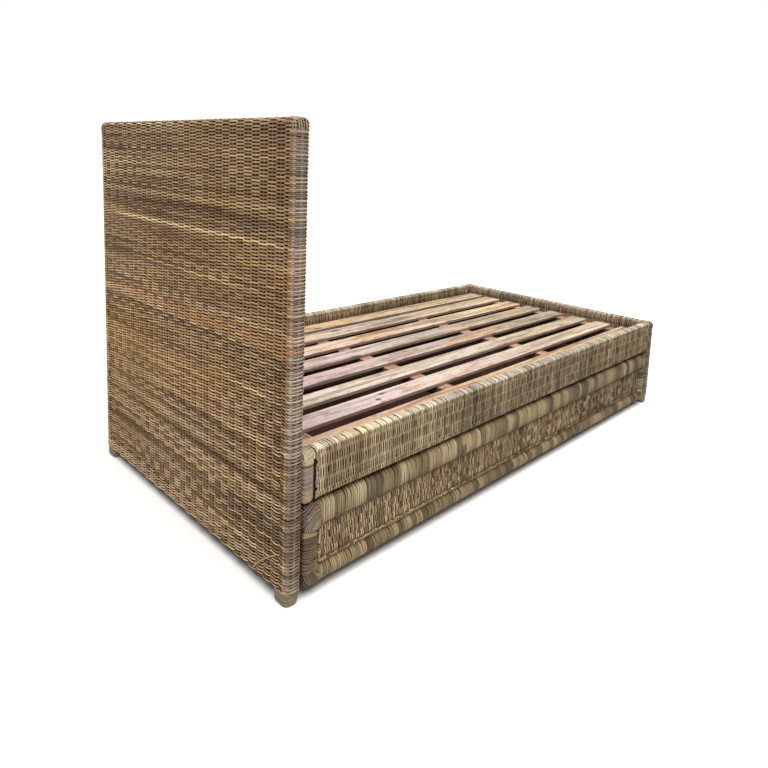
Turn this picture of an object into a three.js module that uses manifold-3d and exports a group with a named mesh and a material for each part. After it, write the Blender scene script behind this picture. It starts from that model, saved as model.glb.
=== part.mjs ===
// Rush bed with a pull-out trundle: woven headboard, low woven footboard, woven side rails, slatted
// platform, and a low slatted drawer bed on four fixed castors behind a wrapped, woven front.
// Millimetres. +X towards the foot, -Y towards the side the trundle pulls out of, +Z up.
// The origin is on the floor under the middle of the closed bed.
import * as THREE from "three";
import { mergeVertices } from "three/addons/utils/BufferGeometryUtils.js";
import Module from "manifold-3d";

const wasm = await Module();
wasm.setup();

// Whole bed
const bedLength = 2065;
const bedWidth = 1080;
const headboardHeight = 1165;
const sideRailTop = 386;

// Fits and shared edges
const seatGap = 0.3;
const cutOverrun = 20;
const timberEase = 2;
const timberEndEase = 1;

// Woven panels at the head and the foot
const panelThickness = 45;
const weaveThickness = 4;
const panelEdgeRadius = 14;
const headboardCornerRadius = 21;
const footboardCornerRadius = 18;
const panelLowerCornerRadius = 17;
const panelFloorGap = 35;
const stileWidth = 44;
const crossRailWidth = 44;
const middleRailHeightShare = 0.52;

// Feet below the woven panels
const footThickness = 42;
const footWidth = 56;
const footCornerRadius = 15;
const footToeRadius = 12;
const footInset = 4;

// Woven side rails
const sideRailDepth = 135;
const sideRailThickness = 40;
const sideRailEdgeRadius = 14;
const railPostWidth = 35;
const railPostCornerRadius = 14;
const railPostEdgeRadius = 12;

// Slatted platform between the side rails
const platformRecess = 45;
const slatThickness = 13;
const slatPitchShare = 0.1273;
const slatWidthShare = 0.6127;
const slatEndGap = 4;
const slatUnevenShares = [1, 0.97, 0.96, 0.96, 1.03, 1.05, 1.14, 1];
const slatShiftShares = [0.01, 0.01, -0.01, 0.03, 0.06, 0.05, 0.1, 0.01];
const bearerThickness = 30;
const bearerWidth = 56;
const bearerHeadInset = 121;
const bearerCount = 4;
const bearerEndGap = 2;
const ledgerWidth = 28;
const ledgerHeight = 28;

// Trundle front: a rounded ring of wrapped pole round a woven panel
const trundleSideGap = 5;
const trundleTopGap = 9;
const trundleFloorGap = 24;
const frontThickness = 45;
const frontSideBand = 51;
const frontTopBand = 69;
const frontBottomBand = 43;
const frontCornerRadius = 20;
const frontOpeningRadius = 12;
const frontEdgeRadius = 16;
const frontPanelThickness = 14;
const frontPanelRecess = 9;

// Trundle box
const boardThickness = 18;
const boardSetIn = 8;
const boxFloorGap = 50;
const frontBoardTop = 228;
const backBoardTop = 240;
const boxTop = 170;
const boxBackInset = 7;
const trundleBearerRaise = 2;
const trundleBearerThickness = 22;
const trundleBearerWidth = 60;
const trundleBearerInset = 104;
const trundleBearerCount = 4;
const trundleSlatThickness = 15;
const trundleSlatWidthShare = 0.86;
const trundleSlatCount = 7;

// Fixed castors
const wheelRadius = 22;
const wheelWidth = 18;
const wheelTreadRadius = 4;
const wheelWebInset = 3;
const wheelRimDepth = 6;
const wheelHubRadius = 8;
const wheelHubProud = 0.6;
const axleRadius = 3;
const axleHeadRadius = 5;
const axleHeadLength = 2;
const plateLength = 62;
const plateWidth = 52;
const plateThickness = 3;
const plateCornerRadius = 6;
const cheekThickness = 2.5;
const cheekTopWidth = 44;
const cheekEyeRadius = 9;
const castorSetIn = 90;

// Counts of facets
const cornerSteps = 4;
const edgeSteps = 2;
const easeSteps = 1;
const treadSteps = 2;
const roundSteps = 20;

// Places worked out from the sizes above
const halfLength = bedLength / 2;
const halfWidth = bedWidth / 2;
const innerHalfLength = halfLength - panelThickness;
const innerHalfWidth = halfWidth - sideRailThickness;
const sideRailBottom = sideRailTop - sideRailDepth;
const slatTop = sideRailTop - platformRecess;
const slatBottom = slatTop - slatThickness;
const bearerTop = slatBottom - seatGap;
const bearerBottom = bearerTop - bearerThickness;
const ledgerTop = bearerBottom - seatGap;
const slatPitch = 2 * innerHalfWidth * slatPitchShare;
const slatWidth = slatPitch * slatWidthShare;
const firstBearerX = bearerHeadInset - innerHalfLength;
const lastBearerX = innerHalfLength - bearerEndGap - bearerWidth / 2;
const bearerPitch = (lastBearerX - firstBearerX) / (bearerCount - 1);
const trundleHalfLength = innerHalfLength - trundleSideGap;
const trundleTop = sideRailBottom - trundleTopGap;
const boxHalfLength = trundleHalfLength - boardSetIn;
const trundleBearerSpan = 2 * (boxHalfLength - trundleBearerInset);
const trundleBearerPitch = trundleBearerSpan / (trundleBearerCount - 1);
const frontBoardBack = -halfWidth + frontThickness + seatGap + boardThickness;
const backBoardFront = halfWidth - boxBackInset - boardThickness;
const trundleBearerBottom = boxFloorGap + trundleBearerRaise;
const trundleBearerTop = trundleBearerBottom + trundleBearerThickness;
const trundleSlatBottom = trundleBearerTop + seatGap;

const materials = {
  weave: material(0x9a7f5a, 0.75),
  cane: material(0xa58b60, 0.55),
  frameTimber: material(0x8a6a48, 0.8),
  slatTimber: material(0xb99a7c, 0.8),
  boardTimber: material(0xa88662, 0.7),
  bracketSteel: material(0x8d8f90, 0.4, 0.9),
  castorTyre: material(0x2b2a29, 0.6),
};

function material(color, roughness, metalness = 0) {
  return new THREE.MeshStandardMaterial({ color, roughness, metalness });
}

function mesh(name, geometry, look) {
  const made = new THREE.Mesh(geometry, look);
  made.name = name;
  return made;
}

// A rectangle centred on x between two heights, with its upper and its lower corners rounded.
function roundedOutline(target, width, bottom, top, upperRadius, lowerRadius) {
  const side = width / 2;
  target.moveTo(side - lowerRadius, bottom);
  target.absarc(side - lowerRadius, bottom + lowerRadius, lowerRadius, -Math.PI / 2, 0, false);
  target.absarc(side - upperRadius, top - upperRadius, upperRadius, 0, Math.PI / 2, false);
  target.absarc(upperRadius - side, top - upperRadius, upperRadius, Math.PI / 2, Math.PI, false);
  target.absarc(lowerRadius - side, bottom + lowerRadius, lowerRadius, Math.PI, Math.PI * 1.5, false);
  target.closePath();
  return target;
}

function roundedRectangle(width, height, radius) {
  return roundedOutline(new THREE.Shape(), width, -height / 2, height / 2, radius, radius);
}

// A slab of an outline, centred in depth, whose rims are rounded by edgeRadius without growing it.
function slab(shape, thickness, edgeRadius = 0, curveSteps = cornerSteps, steps = edgeSteps) {
  const geometry = new THREE.ExtrudeGeometry(shape, {
    depth: thickness - 2 * edgeRadius,
    curveSegments: curveSteps,
    bevelEnabled: edgeRadius > 0,
    bevelThickness: edgeRadius,
    bevelSize: edgeRadius,
    bevelOffset: -edgeRadius,
    bevelSegments: steps,
  });
  return geometry.translate(0, 0, edgeRadius - thickness / 2);
}

// The outline's x and y become Y and Z, and its depth runs along X.
function facingX(geometry) {
  const turn = new THREE.Matrix4().makeBasis(
    new THREE.Vector3(0, 1, 0),
    new THREE.Vector3(0, 0, 1),
    new THREE.Vector3(1, 0, 0),
  );
  return geometry.applyMatrix4(turn);
}

// The outline's x and y become X and Z, and its depth runs along Y.
function facingY(geometry) {
  return geometry.rotateX(Math.PI / 2);
}

// A straight timber with eased edges, centred on its place.
function timber(name, sizeX, sizeY, sizeZ, place, look) {
  const runsAlongX = sizeX >= sizeY;
  const section = runsAlongX
    ? roundedRectangle(sizeY, sizeZ, timberEase)
    : roundedRectangle(sizeX, sizeZ, timberEase);
  const length = runsAlongX ? sizeX : sizeY;
  const block = slab(section, length, timberEndEase, easeSteps, easeSteps);
  const made = mesh(name, runsAlongX ? facingX(block) : facingY(block), look);
  made.position.copy(place);
  return made;
}

function solidOf(geometry) {
  const bare = geometry.index ? geometry.toNonIndexed() : geometry.clone();
  bare.deleteAttribute("normal");
  bare.deleteAttribute("uv");
  const merged = mergeVertices(bare, 1e-4);
  return new wasm.Manifold(
    new wasm.Mesh({
      numProp: 3,
      vertProperties: merged.attributes.position.array,
      triVerts: new Uint32Array(merged.index.array),
    }),
  );
}

function geometryOf(solid) {
  const found = solid.getMesh();
  const geometry = new THREE.BufferGeometry();
  geometry.setAttribute("position", new THREE.BufferAttribute(found.vertProperties, 3));
  geometry.setIndex(new THREE.BufferAttribute(found.triVerts, 1));
  geometry.computeVertexNormals();
  return geometry;
}

function block(sizeX, sizeY, sizeZ, x, y, z) {
  return solidOf(new THREE.BoxGeometry(sizeX, sizeY, sizeZ).translate(x, y, z));
}

// The upright slab of a panel, drawn in by inset on every side and reaching down to bottom.
function panelSlab(height, cornerRadius, inset, bottom) {
  const outline = roundedOutline(
    new THREE.Shape(),
    bedWidth - 2 * inset,
    bottom,
    height - inset,
    cornerRadius - inset,
    panelLowerCornerRadius - inset,
  );
  return solidOf(facingX(slab(outline, panelThickness - 2 * inset, panelEdgeRadius - inset)));
}

// A woven skin that is open below, where the stiles come out of it as feet.
function panelCover(height, cornerRadius) {
  const outside = panelSlab(height, cornerRadius, 0, panelFloorGap);
  const hollow = panelSlab(height, cornerRadius, weaveThickness, panelFloorGap - 2 * cutOverrun);
  return geometryOf(outside.subtract(hollow));
}

// One stile with its wrapped foot, on the side of the bed that the sign gives.
function panelStile(height, cornerRadius, side) {
  const inset = weaveThickness + seatGap;
  const core = panelSlab(height, cornerRadius, inset, -cutOverrun);
  const stileY = side * (halfWidth - inset - stileWidth / 2);
  const stemBottom = panelFloorGap / 2;
  const stem = core.intersect(
    block(panelThickness, stileWidth, height, 0, stileY, stemBottom + height / 2),
  );
  const footTop = panelFloorGap - seatGap;
  const footOutline = roundedRectangle(footThickness, footWidth, footCornerRadius);
  const footY = side * (halfWidth - footInset - footWidth / 2);
  const wholeFoot = slab(footOutline, 2 * footTop, footToeRadius).translate(0, footY, footTop);
  const aboveFoot = block(
    2 * footThickness,
    2 * footWidth,
    2 * footTop,
    0,
    footY,
    2 * footTop,
  );
  return geometryOf(solidOf(wholeFoot).subtract(aboveFoot).add(stem));
}

// A rail across the panel between its stiles, cut to the inside of the skin.
function panelCrossRail(height, cornerRadius, bottom) {
  const inset = weaveThickness + seatGap;
  const core = panelSlab(height, cornerRadius, inset, -cutOverrun);
  const length = bedWidth - 2 * (inset + stileWidth + seatGap);
  const bar = block(panelThickness, length, crossRailWidth, 0, 0, bottom + crossRailWidth / 2);
  return geometryOf(core.intersect(bar));
}

// A headboard or footboard: skin, two stiles with feet, and its cross rails.
function wovenPanel(name, height, cornerRadius, hasMiddleRail) {
  const group = new THREE.Group();
  group.add(mesh(name + "_woven_cover", panelCover(height, cornerRadius), materials.weave));
  const sides = { near: -1, far: 1 };
  for (const [side, sign] of Object.entries(sides)) {
    const stile = panelStile(height, cornerRadius, sign);
    group.add(mesh(name + "_stile_" + side, stile, materials.frameTimber));
  }
  const railBottoms = {
    top: height - weaveThickness - seatGap - crossRailWidth,
    bottom: panelFloorGap,
  };
  if (hasMiddleRail) railBottoms.middle = height * middleRailHeightShare;
  for (const [place, bottom] of Object.entries(railBottoms)) {
    const rail = panelCrossRail(height, cornerRadius, bottom);
    group.add(mesh(name + "_" + place + "_rail", rail, materials.frameTimber));
  }
  return group;
}

// A side rail: a beam in a woven sleeve, between two wrapped end posts.
function sideRail(name) {
  const group = new THREE.Group();
  const postCentre = innerHalfLength - seatGap - railPostWidth / 2;
  const sleeveLength = 2 * (postCentre - railPostWidth / 2 - seatGap);
  const sleeveShape = roundedRectangle(sideRailThickness, sideRailDepth, sideRailEdgeRadius);
  const boreShape = roundedRectangle(
    sideRailThickness - 2 * weaveThickness,
    sideRailDepth - 2 * weaveThickness,
    sideRailEdgeRadius - weaveThickness,
  );
  const sleeve = solidOf(facingX(slab(sleeveShape, sleeveLength)));
  const bore = solidOf(facingX(slab(boreShape, sleeveLength + 2 * cutOverrun)));
  group.add(mesh(name + "_woven_cover", geometryOf(sleeve.subtract(bore)), materials.weave));
  const beamInset = weaveThickness + seatGap;
  const beamShape = roundedRectangle(
    sideRailThickness - 2 * beamInset,
    sideRailDepth - 2 * beamInset,
    sideRailEdgeRadius - beamInset,
  );
  group.add(mesh(name + "_beam", facingX(slab(beamShape, sleeveLength)), materials.frameTimber));
  const ends = { head: -1, foot: 1 };
  for (const [end, sign] of Object.entries(ends)) {
    const postShape = roundedRectangle(railPostWidth, sideRailDepth, railPostCornerRadius);
    const post = facingY(slab(postShape, sideRailThickness, railPostEdgeRadius));
    const made = mesh(name + "_post_" + end, post, materials.cane);
    made.position.x = sign * postCentre;
    group.add(made);
  }
  return group;
}

function ledger(name, side) {
  const place = new THREE.Vector3(
    0,
    side * (innerHalfWidth - seatGap - ledgerWidth / 2),
    ledgerTop - ledgerHeight / 2,
  );
  const length = 2 * (innerHalfLength - seatGap);
  return timber(name, length, ledgerWidth, ledgerHeight, place, materials.frameTimber);
}

// Bearers are numbered from the head. The last one lies against the footboard.
function bearers() {
  const group = new THREE.Group();
  const length = 2 * (innerHalfWidth - bearerEndGap);
  for (let i = 0; i < bearerCount; i += 1) {
    const x = firstBearerX + i * bearerPitch;
    const place = new THREE.Vector3(x, 0, bearerTop - bearerThickness / 2);
    const name = "slat_bearer_" + (i + 1);
    group.add(timber(name, bearerWidth, length, bearerThickness, place, materials.slatTimber));
  }
  return group;
}

// Slats are numbered from the trundle side. Each has its own width and small shift, as laid by hand.
function slats() {
  const group = new THREE.Group();
  const length = 2 * (innerHalfLength - slatEndGap);
  slatUnevenShares.forEach((unevenShare, i) => {
    const evenY = (i - (slatUnevenShares.length - 1) / 2) * slatPitch;
    const y = evenY + slatShiftShares[i] * slatPitch;
    const place = new THREE.Vector3(0, y, slatTop - slatThickness / 2);
    const width = slatWidth * unevenShare;
    const name = "slat_" + (i + 1);
    group.add(timber(name, length, width, slatThickness, place, materials.slatTimber));
  });
  return group;
}

// The opening of the trundle front, drawn in by gap on every side.
function frontOpening(target, gap) {
  const halfHeight = (trundleTop - trundleFloorGap) / 2;
  const width = 2 * (trundleHalfLength - frontSideBand - gap);
  const bottom = frontBottomBand + gap - halfHeight;
  const top = halfHeight - frontTopBand - gap;
  const radius = frontOpeningRadius - gap;
  return roundedOutline(target, width, bottom, top, radius, radius);
}

// The wrapped ring of the trundle front, with its opening for the woven panel.
function trundleFrontRing() {
  const height = trundleTop - trundleFloorGap;
  const shape = roundedRectangle(2 * trundleHalfLength, height, frontCornerRadius);
  shape.holes.push(frontOpening(new THREE.Path(), 0));
  const ring = facingY(slab(shape, frontThickness, frontEdgeRadius));
  return mesh("trundle_front_wrapped_frame", ring, materials.cane);
}

function trundleFrontPanel() {
  const shape = frontOpening(new THREE.Shape(), seatGap);
  return mesh("trundle_front_woven_panel", facingY(slab(shape, frontPanelThickness)), materials.weave);
}

function trundleFront() {
  const group = new THREE.Group();
  group.position.set(0, frontThickness / 2 - halfWidth, (trundleTop + trundleFloorGap) / 2);
  const panel = trundleFrontPanel();
  panel.position.y = frontPanelRecess + (frontPanelThickness - frontThickness) / 2;
  group.add(trundleFrontRing(), panel);
  return group;
}

// Four boards round the mattress bay, the front and the back one taller than the ends.
function trundleBoards() {
  const group = new THREE.Group();
  const look = materials.boardTimber;
  const frontHeight = frontBoardTop - boxFloorGap;
  const wallHeight = boxTop - boxFloorGap;
  const wallZ = boxFloorGap + wallHeight / 2;
  const length = 2 * boxHalfLength;
  const frontPlace = new THREE.Vector3(
    0,
    frontBoardBack - boardThickness / 2,
    boxFloorGap + frontHeight / 2,
  );
  const backHeight = backBoardTop - boxFloorGap;
  const backPlace = new THREE.Vector3(
    0,
    backBoardFront + boardThickness / 2,
    boxFloorGap + backHeight / 2,
  );
  group.add(timber("trundle_front_board", length, boardThickness, frontHeight, frontPlace, look));
  group.add(timber("trundle_back_board", length, boardThickness, backHeight, backPlace, look));
  const endLength = backBoardFront - frontBoardBack - 2 * seatGap;
  const endY = (backBoardFront + frontBoardBack) / 2;
  const ends = { head: -1, foot: 1 };
  for (const [end, sign] of Object.entries(ends)) {
    const place = new THREE.Vector3(sign * (boxHalfLength - boardThickness / 2), endY, wallZ);
    const name = "trundle_end_board_" + end;
    group.add(timber(name, boardThickness, endLength, wallHeight, place, look));
  }
  return group;
}

function trundleBearerX(i) {
  return (i - (trundleBearerCount - 1) / 2) * trundleBearerPitch;
}

function trundleBed() {
  const group = new THREE.Group();
  const bayWidth = backBoardFront - frontBoardBack;
  const bayY = (backBoardFront + frontBoardBack) / 2;
  const bearerZ = trundleBearerBottom + trundleBearerThickness / 2;
  for (let i = 0; i < trundleBearerCount; i += 1) {
    const place = new THREE.Vector3(trundleBearerX(i), bayY, bearerZ);
    const name = "trundle_bearer_" + (i + 1);
    const length = bayWidth - 2 * seatGap;
    group.add(
      timber(name, trundleBearerWidth, length, trundleBearerThickness, place, materials.slatTimber),
    );
  }
  const slatLength = 2 * (boxHalfLength - boardThickness - seatGap);
  const slatZ = trundleSlatBottom + trundleSlatThickness / 2;
  const pitch = bayWidth / trundleSlatCount;
  const width = pitch * trundleSlatWidthShare;
  for (let i = 0; i < trundleSlatCount; i += 1) {
    const y = frontBoardBack + (i + 0.5) * pitch;
    const place = new THREE.Vector3(0, y, slatZ);
    const name = "trundle_slat_" + (i + 1);
    group.add(
      timber(name, slatLength, width, trundleSlatThickness, place, materials.slatTimber),
    );
  }
  return group;
}

// A moulded wheel turned about X: tyre, thin web and a hub that runs against the cheeks.
function wheelGeometry() {
  const half = wheelWidth / 2;
  const boreRadius = axleRadius + seatGap;
  const rimInner = wheelRadius - wheelRimDepth;
  const webHalf = half - wheelWebInset;
  const outline = new THREE.Shape();
  outline.moveTo(boreRadius, -half - wheelHubProud);
  outline.lineTo(wheelHubRadius, -half - wheelHubProud);
  outline.lineTo(wheelHubRadius, -webHalf);
  outline.lineTo(rimInner, -webHalf);
  outline.lineTo(rimInner, -half);
  outline.lineTo(wheelRadius - wheelTreadRadius, -half);
  outline.absarc(wheelRadius - wheelTreadRadius, wheelTreadRadius - half, wheelTreadRadius, -Math.PI / 2, 0);
  outline.absarc(wheelRadius - wheelTreadRadius, half - wheelTreadRadius, wheelTreadRadius, 0, Math.PI / 2);
  outline.lineTo(rimInner, half);
  outline.lineTo(rimInner, webHalf);
  outline.lineTo(wheelHubRadius, webHalf);
  outline.lineTo(wheelHubRadius, half + wheelHubProud);
  outline.lineTo(boreRadius, half + wheelHubProud);
  outline.closePath();
  const profile = outline.getPoints(treadSteps);
  const turned = new THREE.LatheGeometry(profile, roundSteps);
  return turned.rotateZ(-Math.PI / 2);
}

// One cheek of the fork: wide under the plate, drawn in to a round eye at the axle.
function cheekShape() {
  const drop = plateTopZ() - plateThickness / 2 - wheelRadius;
  const shape = new THREE.Shape();
  shape.moveTo(-cheekTopWidth / 2, drop);
  shape.lineTo(-cheekEyeRadius, 0);
  shape.absarc(0, 0, cheekEyeRadius, Math.PI, Math.PI * 2, false);
  shape.lineTo(cheekTopWidth / 2, drop);
  shape.closePath();
  return shape;
}

function plateTopZ() {
  return trundleBearerBottom - seatGap;
}

// Plate, two cheeks and the headed axle, as one riveted fork.
function castorFork() {
  const plateShape = roundedRectangle(plateWidth, plateLength, plateCornerRadius);
  const plateZ = plateTopZ() - plateThickness / 2;
  let fork = solidOf(slab(plateShape, plateThickness).translate(0, 0, plateZ));
  const cheekX = wheelWidth / 2 + wheelHubProud + seatGap + cheekThickness / 2;
  for (const side of [-1, 1]) {
    const cheek = facingX(slab(cheekShape(), cheekThickness));
    fork = fork.add(solidOf(cheek.translate(side * cheekX, 0, wheelRadius)));
  }
  const pinLength = 2 * cheekX + cheekThickness + 2 * axleHeadLength;
  const pin = new THREE.CylinderGeometry(axleRadius, axleRadius, pinLength, roundSteps);
  fork = fork.add(solidOf(pin.rotateZ(Math.PI / 2).translate(0, 0, wheelRadius)));
  for (const side of [-1, 1]) {
    const head = new THREE.CylinderGeometry(axleHeadRadius, axleHeadRadius, axleHeadLength, roundSteps);
    const headX = side * (pinLength - axleHeadLength) / 2;
    fork = fork.add(solidOf(head.rotateZ(Math.PI / 2).translate(headX, 0, wheelRadius)));
  }
  return geometryOf(fork);
}

// The castors stand under the outer bearers, near the front and the back of the box.
function castors() {
  const group = new THREE.Group();
  const ends = { head: trundleBearerX(0), foot: trundleBearerX(trundleBearerCount - 1) };
  const rows = { front: frontBoardBack + castorSetIn, back: backBoardFront - castorSetIn };
  for (const [end, x] of Object.entries(ends)) {
    for (const [row, y] of Object.entries(rows)) {
      const fork = mesh("castor_fork_" + row + "_" + end, castorFork(), materials.bracketSteel);
      fork.position.set(x, y, 0);
      const wheel = mesh("castor_wheel_" + row + "_" + end, wheelGeometry(), materials.castorTyre);
      wheel.position.set(x, y, wheelRadius);
      group.add(fork, wheel);
    }
  }
  return group;
}

function bedFrame() {
  const group = new THREE.Group();
  const headboard = wovenPanel("headboard", headboardHeight, headboardCornerRadius, true);
  headboard.position.x = panelThickness / 2 - halfLength;
  const footboard = wovenPanel("footboard", sideRailTop, footboardCornerRadius, false);
  footboard.position.x = halfLength - panelThickness / 2;
  const nearRail = sideRail("side_rail_near");
  nearRail.position.set(0, sideRailThickness / 2 - halfWidth, sideRailTop - sideRailDepth / 2);
  const farRail = sideRail("side_rail_far");
  farRail.position.set(0, halfWidth - sideRailThickness / 2, sideRailTop - sideRailDepth / 2);
  group.add(headboard, footboard, nearRail, farRail);
  group.add(ledger("ledger_near", -1), ledger("ledger_far", 1), bearers(), slats());
  return group;
}

function trundle() {
  const group = new THREE.Group();
  group.add(trundleFront(), trundleBoards(), trundleBed(), castors());
  return group;
}

const rushBedWithTrundle = new THREE.Group();
rushBedWithTrundle.add(bedFrame(), trundle());

export default rushBedWithTrundle;
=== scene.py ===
import math
import bmesh
import bpy
import numpy as np
from mathutils import Matrix, Vector


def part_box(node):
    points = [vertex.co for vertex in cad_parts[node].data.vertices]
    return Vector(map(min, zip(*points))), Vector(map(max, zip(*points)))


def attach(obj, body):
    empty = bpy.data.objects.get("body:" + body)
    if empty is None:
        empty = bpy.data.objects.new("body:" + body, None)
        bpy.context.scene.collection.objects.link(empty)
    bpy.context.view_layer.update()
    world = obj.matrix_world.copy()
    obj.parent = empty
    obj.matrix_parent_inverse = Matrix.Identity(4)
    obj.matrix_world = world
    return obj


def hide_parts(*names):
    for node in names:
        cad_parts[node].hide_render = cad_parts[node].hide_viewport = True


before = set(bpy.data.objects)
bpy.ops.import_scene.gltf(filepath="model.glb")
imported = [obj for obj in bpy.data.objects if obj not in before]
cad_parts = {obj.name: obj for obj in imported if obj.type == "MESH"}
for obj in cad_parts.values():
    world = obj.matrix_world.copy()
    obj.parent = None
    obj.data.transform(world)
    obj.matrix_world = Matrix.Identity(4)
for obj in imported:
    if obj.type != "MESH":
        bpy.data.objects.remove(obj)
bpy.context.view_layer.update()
print("frame loaded:", len(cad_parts), "solids")


class Wire:  # one socket of a node tree, so that sums on it can be written as Python
    def __init__(self, net, socket):
        self.net = net
        self.socket = socket

    def other(self, name):
        return Wire(self.net, self.socket.node.outputs[name])

    def __add__(self, value):
        return self.net.sum("ADD", self, value)

    def __radd__(self, value):
        return self.net.sum("ADD", value, self)

    def __sub__(self, value):
        return self.net.sum("SUBTRACT", self, value)

    def __rsub__(self, value):
        return self.net.sum("SUBTRACT", value, self)

    def __mul__(self, value):
        return self.net.sum("MULTIPLY", self, value)

    def __rmul__(self, value):
        return self.net.sum("MULTIPLY", value, self)

    def __truediv__(self, value):
        return self.net.sum("DIVIDE", self, value)

    def __pow__(self, value):
        return self.net.sum("POWER", self, value)

    def __mod__(self, value):
        return self.net.sum("FLOORED_MODULO", self, value)

    def __abs__(self):
        return self.net.sum("ABSOLUTE", self, 0.0)


class Net:  # a shader or geometry tree that is being filled
    def __init__(self, tree):
        self.tree = tree

    def add(self, kind, settings=None, sockets=None, out=0):
        node = self.tree.nodes.new(kind)
        for key, value in (settings or {}).items():
            if key == "stops":
                self.setStops(node.color_ramp, value)
            else:
                setattr(node, key, value)
        for key, value in (sockets or {}).items():
            if isinstance(value, Wire):
                self.tree.links.new(value.socket, node.inputs[key])
            else:
                node.inputs[key].default_value = value
        return Wire(self, node.outputs[out])

    def setStops(self, ramp, stops):
        while len(ramp.elements) < len(stops):
            ramp.elements.new(0.5)
        for element, (place, colour) in zip(ramp.elements, stops):
            element.position = place
            element.color = (*colour, 1.0)

    def sum(self, operation, a, b):
        vectors = [value for value in (a, b) if isinstance(value, tuple)
                   or isinstance(value, Wire) and value.socket.type in ("VECTOR", "RGBA")]
        if not vectors:
            return self.add("ShaderNodeMath", {"operation": operation}, {0: a, 1: b})
        if operation == "MULTIPLY" and len(vectors) == 1:
            number = b if vectors[0] is a else a
            return self.add("ShaderNodeVectorMath", {"operation": "SCALE"}, {0: vectors[0], "Scale": number})
        return self.add("ShaderNodeVectorMath", {"operation": operation}, {0: a, 1: b})

    def math(self, operation, *values):
        return self.add("ShaderNodeMath", {"operation": operation}, dict(enumerate(values)))

    def vector(self, x, y, z):
        return self.add("ShaderNodeCombineXYZ", None, {0: x, 1: y, 2: z})

    def split(self, vector):
        parts = self.add("ShaderNodeSeparateXYZ", None, {0: vector})
        return [parts, parts.other("Y"), parts.other("Z")]

    def remap(self, value, low, high, toLow=0.0, toHigh=1.0):
        settings = {"interpolation_type": "SMOOTHSTEP"}
        return self.add("ShaderNodeMapRange", settings, {0: value, 1: low, 2: high, 3: toLow, 4: toHigh})

    def place(self):  # Object coordinates
        return self.add("ShaderNodeTexCoord", None, None, "Object")

    def noise(self, vector, detail=2.0, roughness=0.5, scale=1.0):
        return self.add("ShaderNodeTexNoise", None, {
            "Vector": vector, "Scale": scale, "Detail": detail, "Roughness": roughness})

    def mix(self, factor, a, b, blend="MIX"):
        settings = {"data_type": "RGBA", "blend_type": blend}
        sockets = {0: factor, 6: self.colour(a), 7: self.colour(b)}
        return self.add("ShaderNodeMix", settings, sockets, 2)

    def colour(self, value):
        return value if isinstance(value, Wire) else (*value, 1.0)

    def ramp(self, value, stops):
        return self.add("ShaderNodeValToRGB", {"stops": stops}, {0: value})


# Colours are linear.

def newMaterial(name):
    made = bpy.data.materials.new(name)
    made.use_nodes = True
    made.node_tree.nodes.clear()
    return made, Net(made.node_tree)


def finishMaterial(net, colour, roughness, bumpHeight=None, bumpDepth=0.0, shader=None):
    sockets = {"Base Color": net.colour(colour), "Roughness": roughness}
    sockets.update(shader or {})
    if bumpHeight is not None:
        sockets["Normal"] = net.add("ShaderNodeBump", None, {
            "Strength": 1.0, "Distance": bumpDepth, "Height": bumpHeight})
    surface = net.add("ShaderNodeBsdfPrincipled", None, sockets)
    output = net.tree.nodes.new("ShaderNodeOutputMaterial")
    net.tree.links.new(surface.socket, output.inputs["Surface"])


def linear(colour):  # a colour seen on a screen, as a linear one
    return tuple((c / 255 / 12.92) if c < 10.3 else ((c / 255 + 0.055) / 1.055) ** 2.4 for c in colour)


# gradients: axis, start, end, and what the end adds to edgeShade, strandContrast and tone.
# accents: tint, strength and, for each axis, from where to where, with how soft a border.
# Each span says where its mask is 0 and where it is 1.
caneDefaults = {
    "tones": [
        (0.00, (0.045, 0.026, 0.014)),
        (0.22, (0.135, 0.082, 0.043)),
        (0.48, (0.300, 0.200, 0.110)),
        (0.72, (0.480, 0.350, 0.205)),
        (1.00, (0.780, 0.650, 0.450)),
    ],
    "tone": 0.5, "group": 1.0, "groupSpread": 2.4, "strandLength": 1.0, "strandContrast": 0.3,
    "singleContrast": 0.0, "bandScale": (1.0, 1.0, 10.0), "bandContrast": 0.6,
    "patchScale": (8.0, 8.0, 8.0), "patchContrast": 0.3, "streakScale": (28.0, 1.2), "streakContrast": 0.22,
    "edgeShade": 0.16, "edgePower": 2.5, "gradients": [], "hueScale": 1.3,
    "olive": 0.3, "oliveSpan": (0.45, 0.75), "oliveTint": (0.30, 0.245, 0.100),
    "red": 0.3, "redSpan": (0.50, 0.25), "redTint": (0.230, 0.120, 0.070),
    "drift": 0.0, "driftScale": (2.0, 2.0, 12.0), "golden": (1.20, 1.06, 0.62), "goldenSpan": (0.50, 0.66),
    "mauve": (0.96, 0.90, 1.06), "mauveSpan": (0.48, 0.34), "grey": 0.1, "greyTone": (0.40, 0.365, 0.31),
    "shadeSpan": (0.05, 0.95), "shades": (0.35, 1.4), "accents": [], "gain": (1.0, 1.0, 1.0),
    "fibreScale": (60.0, 9.0), "fibreTint": (0.50, 0.40, 0.30), "fibre": 0.30, "fibreSpan": (0.35, 0.7),
    "fibreDepth": 0.00025, "fibreRoughness": 0.25, "roughness": 0.50, "specular": 0.2}


def spanMask(net, value, low, high, soft):  # 1 between low and high, with soft borders
    middle, half = (low + high) / 2, (high - low) / 2
    return net.remap(abs(value - middle), half + soft, half - soft)


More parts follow.
